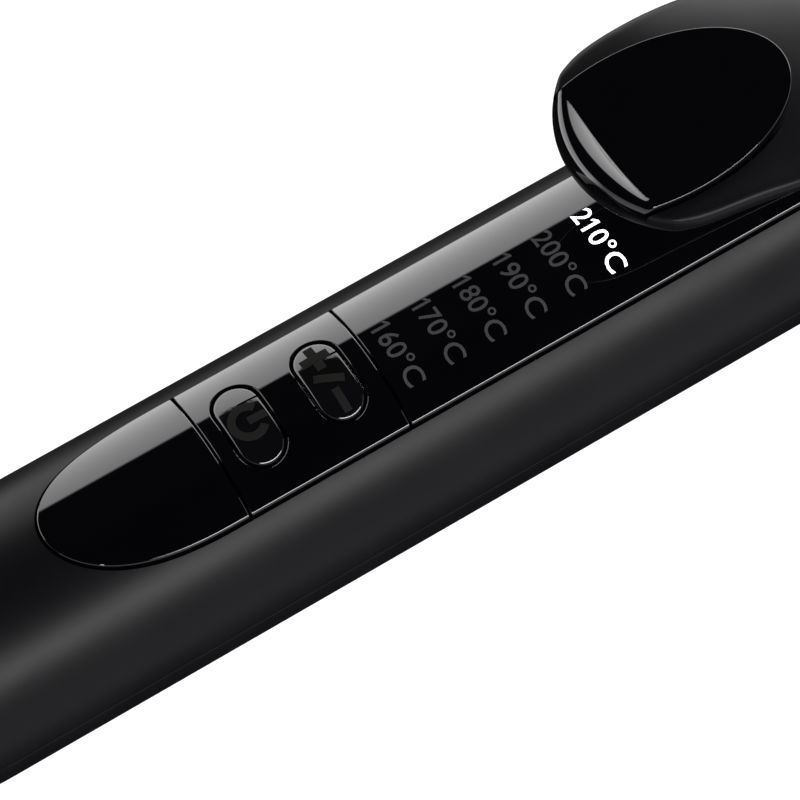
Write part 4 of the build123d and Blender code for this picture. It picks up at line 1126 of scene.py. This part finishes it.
def add_camera():
    """The camera, held by its place, two turns of its back and the roll about its own line of sight."""
    back = Vector((-sin(CAMERA_YAW), -sin(CAMERA_TILT) * cos(CAMERA_YAW), cos(CAMERA_TILT) * cos(CAMERA_YAW)))
    along = Vector((1, 0, 0))
    right = (along - back * along.dot(back)).normalized()
    up = back.cross(right)
    right, up = (
        right * cos(CAMERA_ROLL) - up * sin(CAMERA_ROLL),
        right * sin(CAMERA_ROLL) + up * cos(CAMERA_ROLL),
    )
    data = bpy.data.cameras.new("camera")
    data.lens = LENS_MM
    data.sensor_width = 36
    data.clip_start = 0.01
    data.clip_end = 20
    camera = bpy.data.objects.new("camera", data)
    scene.collection.objects.link(camera)
    camera.matrix_world = Matrix(
        (
            (right.x, up.x, back.x, CAMERA_AT.x),
            (right.y, up.y, back.y, CAMERA_AT.y),
            (right.z, up.z, back.z, CAMERA_AT.z),
            (0, 0, 0, 1),
        )
    )
    scene.camera = camera


def add_floor():
    """A matt white floor that mirror reflections pass by, so that it doesn't light the plastic from below."""
    bpy.ops.object.select_all(action="DESELECT")
    bpy.ops.mesh.primitive_plane_add(size=6, location=(0.1, 0, FLOOR_Z))
    floor = active("floor")
    material, tree, shader, place = new_material(
        "matt_white_floor", Roughness=0.9, Emission_Color=linear("ffffff"), Emission_Strength=0.87
    )
    shader.inputs["Base Color"].default_value = linear("808080")
    paint(floor, material)
    floor.visible_glossy = False


SCRIM_LEAN = radians(17)
SCRIM_STRENGTH = 4.4
NEAR_STRENGTH = 1.2
# Stops across the scrim, from straight below it (0) to straight above (1), each with its shade.
SCRIM_STOPS = ((0.28, "080808"), (0.32, "ffffff"), (0.679, "dddddd"), (0.696, "080808"))


def add_world():
    """A dark studio with one long white scrim beyond the object, with a sharp and level upper edge."""
    world = bpy.data.worlds.new("studio")
    scene.world = world
    world.use_nodes = True
    tree = world.node_tree
    direction = add_node(tree, "ShaderNodeTexCoord").outputs["Generated"]
    across = add_node(tree, "ShaderNodeVectorMath", {"operation": "DOT_PRODUCT"}, {0: direction})
    across.inputs[1].default_value = (0, -sin(SCRIM_LEAN), cos(SCRIM_LEAN))
    reach = add_node(
        tree,
        "ShaderNodeMapRange",
        {"From Min": -1, "From Max": 1, "To Min": 0, "To Max": 1},
        {"Value": across.outputs["Value"]},
    )
    scrim = add_node(tree, "ShaderNodeValToRGB", None, {"Fac": reach.outputs["Result"]})
    stops = scrim.color_ramp.elements
    first, last = SCRIM_STOPS[0], SCRIM_STOPS[-1]
    stops[0].position, stops[0].color = first[0], linear(first[1])
    stops[1].position, stops[1].color = last[0], linear(last[1])
    for position, shade in SCRIM_STOPS[1:-1]:
        stops.new(position).color = linear(shade)
    side = add_node(tree, "ShaderNodeSeparateXYZ", None, {"Vector": direction})
    strength = add_node(
        tree,
        "ShaderNodeMapRange",
        {"From Min": -0.05, "From Max": 0.15, "To Min": NEAR_STRENGTH, "To Max": SCRIM_STRENGTH},
        {"Value": side.outputs["Y"]},
    )
    background = tree.nodes["Background"]
    tree.links.new(scrim.outputs["Color"], background.inputs["Color"])
    tree.links.new(strength.outputs["Result"], background.inputs["Strength"])


def add_softbox():
    """A long soft light on the near side, which lays the broad highlight along the handle."""
    aim = Vector((0.45, 0, 0))
    bpy.ops.object.light_add(type="AREA", location=(aim.x, -1.2, 0.72))
    softbox = bpy.context.object
    softbox.name = "near_softbox"
    softbox.data.shape = "RECTANGLE"
    softbox.data.size = 1.8
    softbox.data.size_y = 0.4
    softbox.data.energy = 42
    softbox.rotation_euler = (aim - softbox.location).to_track_quat("-Z", "Y").to_euler()


add_camera()
scene.view_settings.view_transform = "Standard"
add_floor()
add_world()
add_softbox()


# ---------------------------------------------------------------- finishes of the CAD pieces that stay
KEPT = {
    "housing": SATIN,
    "gloss_panel": GLOSS,
    "legend_dim": NYLON,
    "legend_lit": FROSTED,
    "light_guide": FROSTED,
    "circuit_board": BOARD,
    "electronics": EPOXY,
    "inner_plastic": INNER,
    "ceramic": ALUMINA,
    "screw_steel": STEEL,
    "spring_steel": SPRING,
    "contact_brass": BRASS,
    "foot_rubber": RUBBER,
    "barrel_coat": COATED,
    "collar_plastic": NYLON,
    "heater_aluminium": ALUMINIUM,
    "insulating_film": POLYIMIDE,
    "lead_silicone": SILICONE,
}
for name, node in frame["nodes"].items():
    paint(node, KEPT[SLOTS[name]])
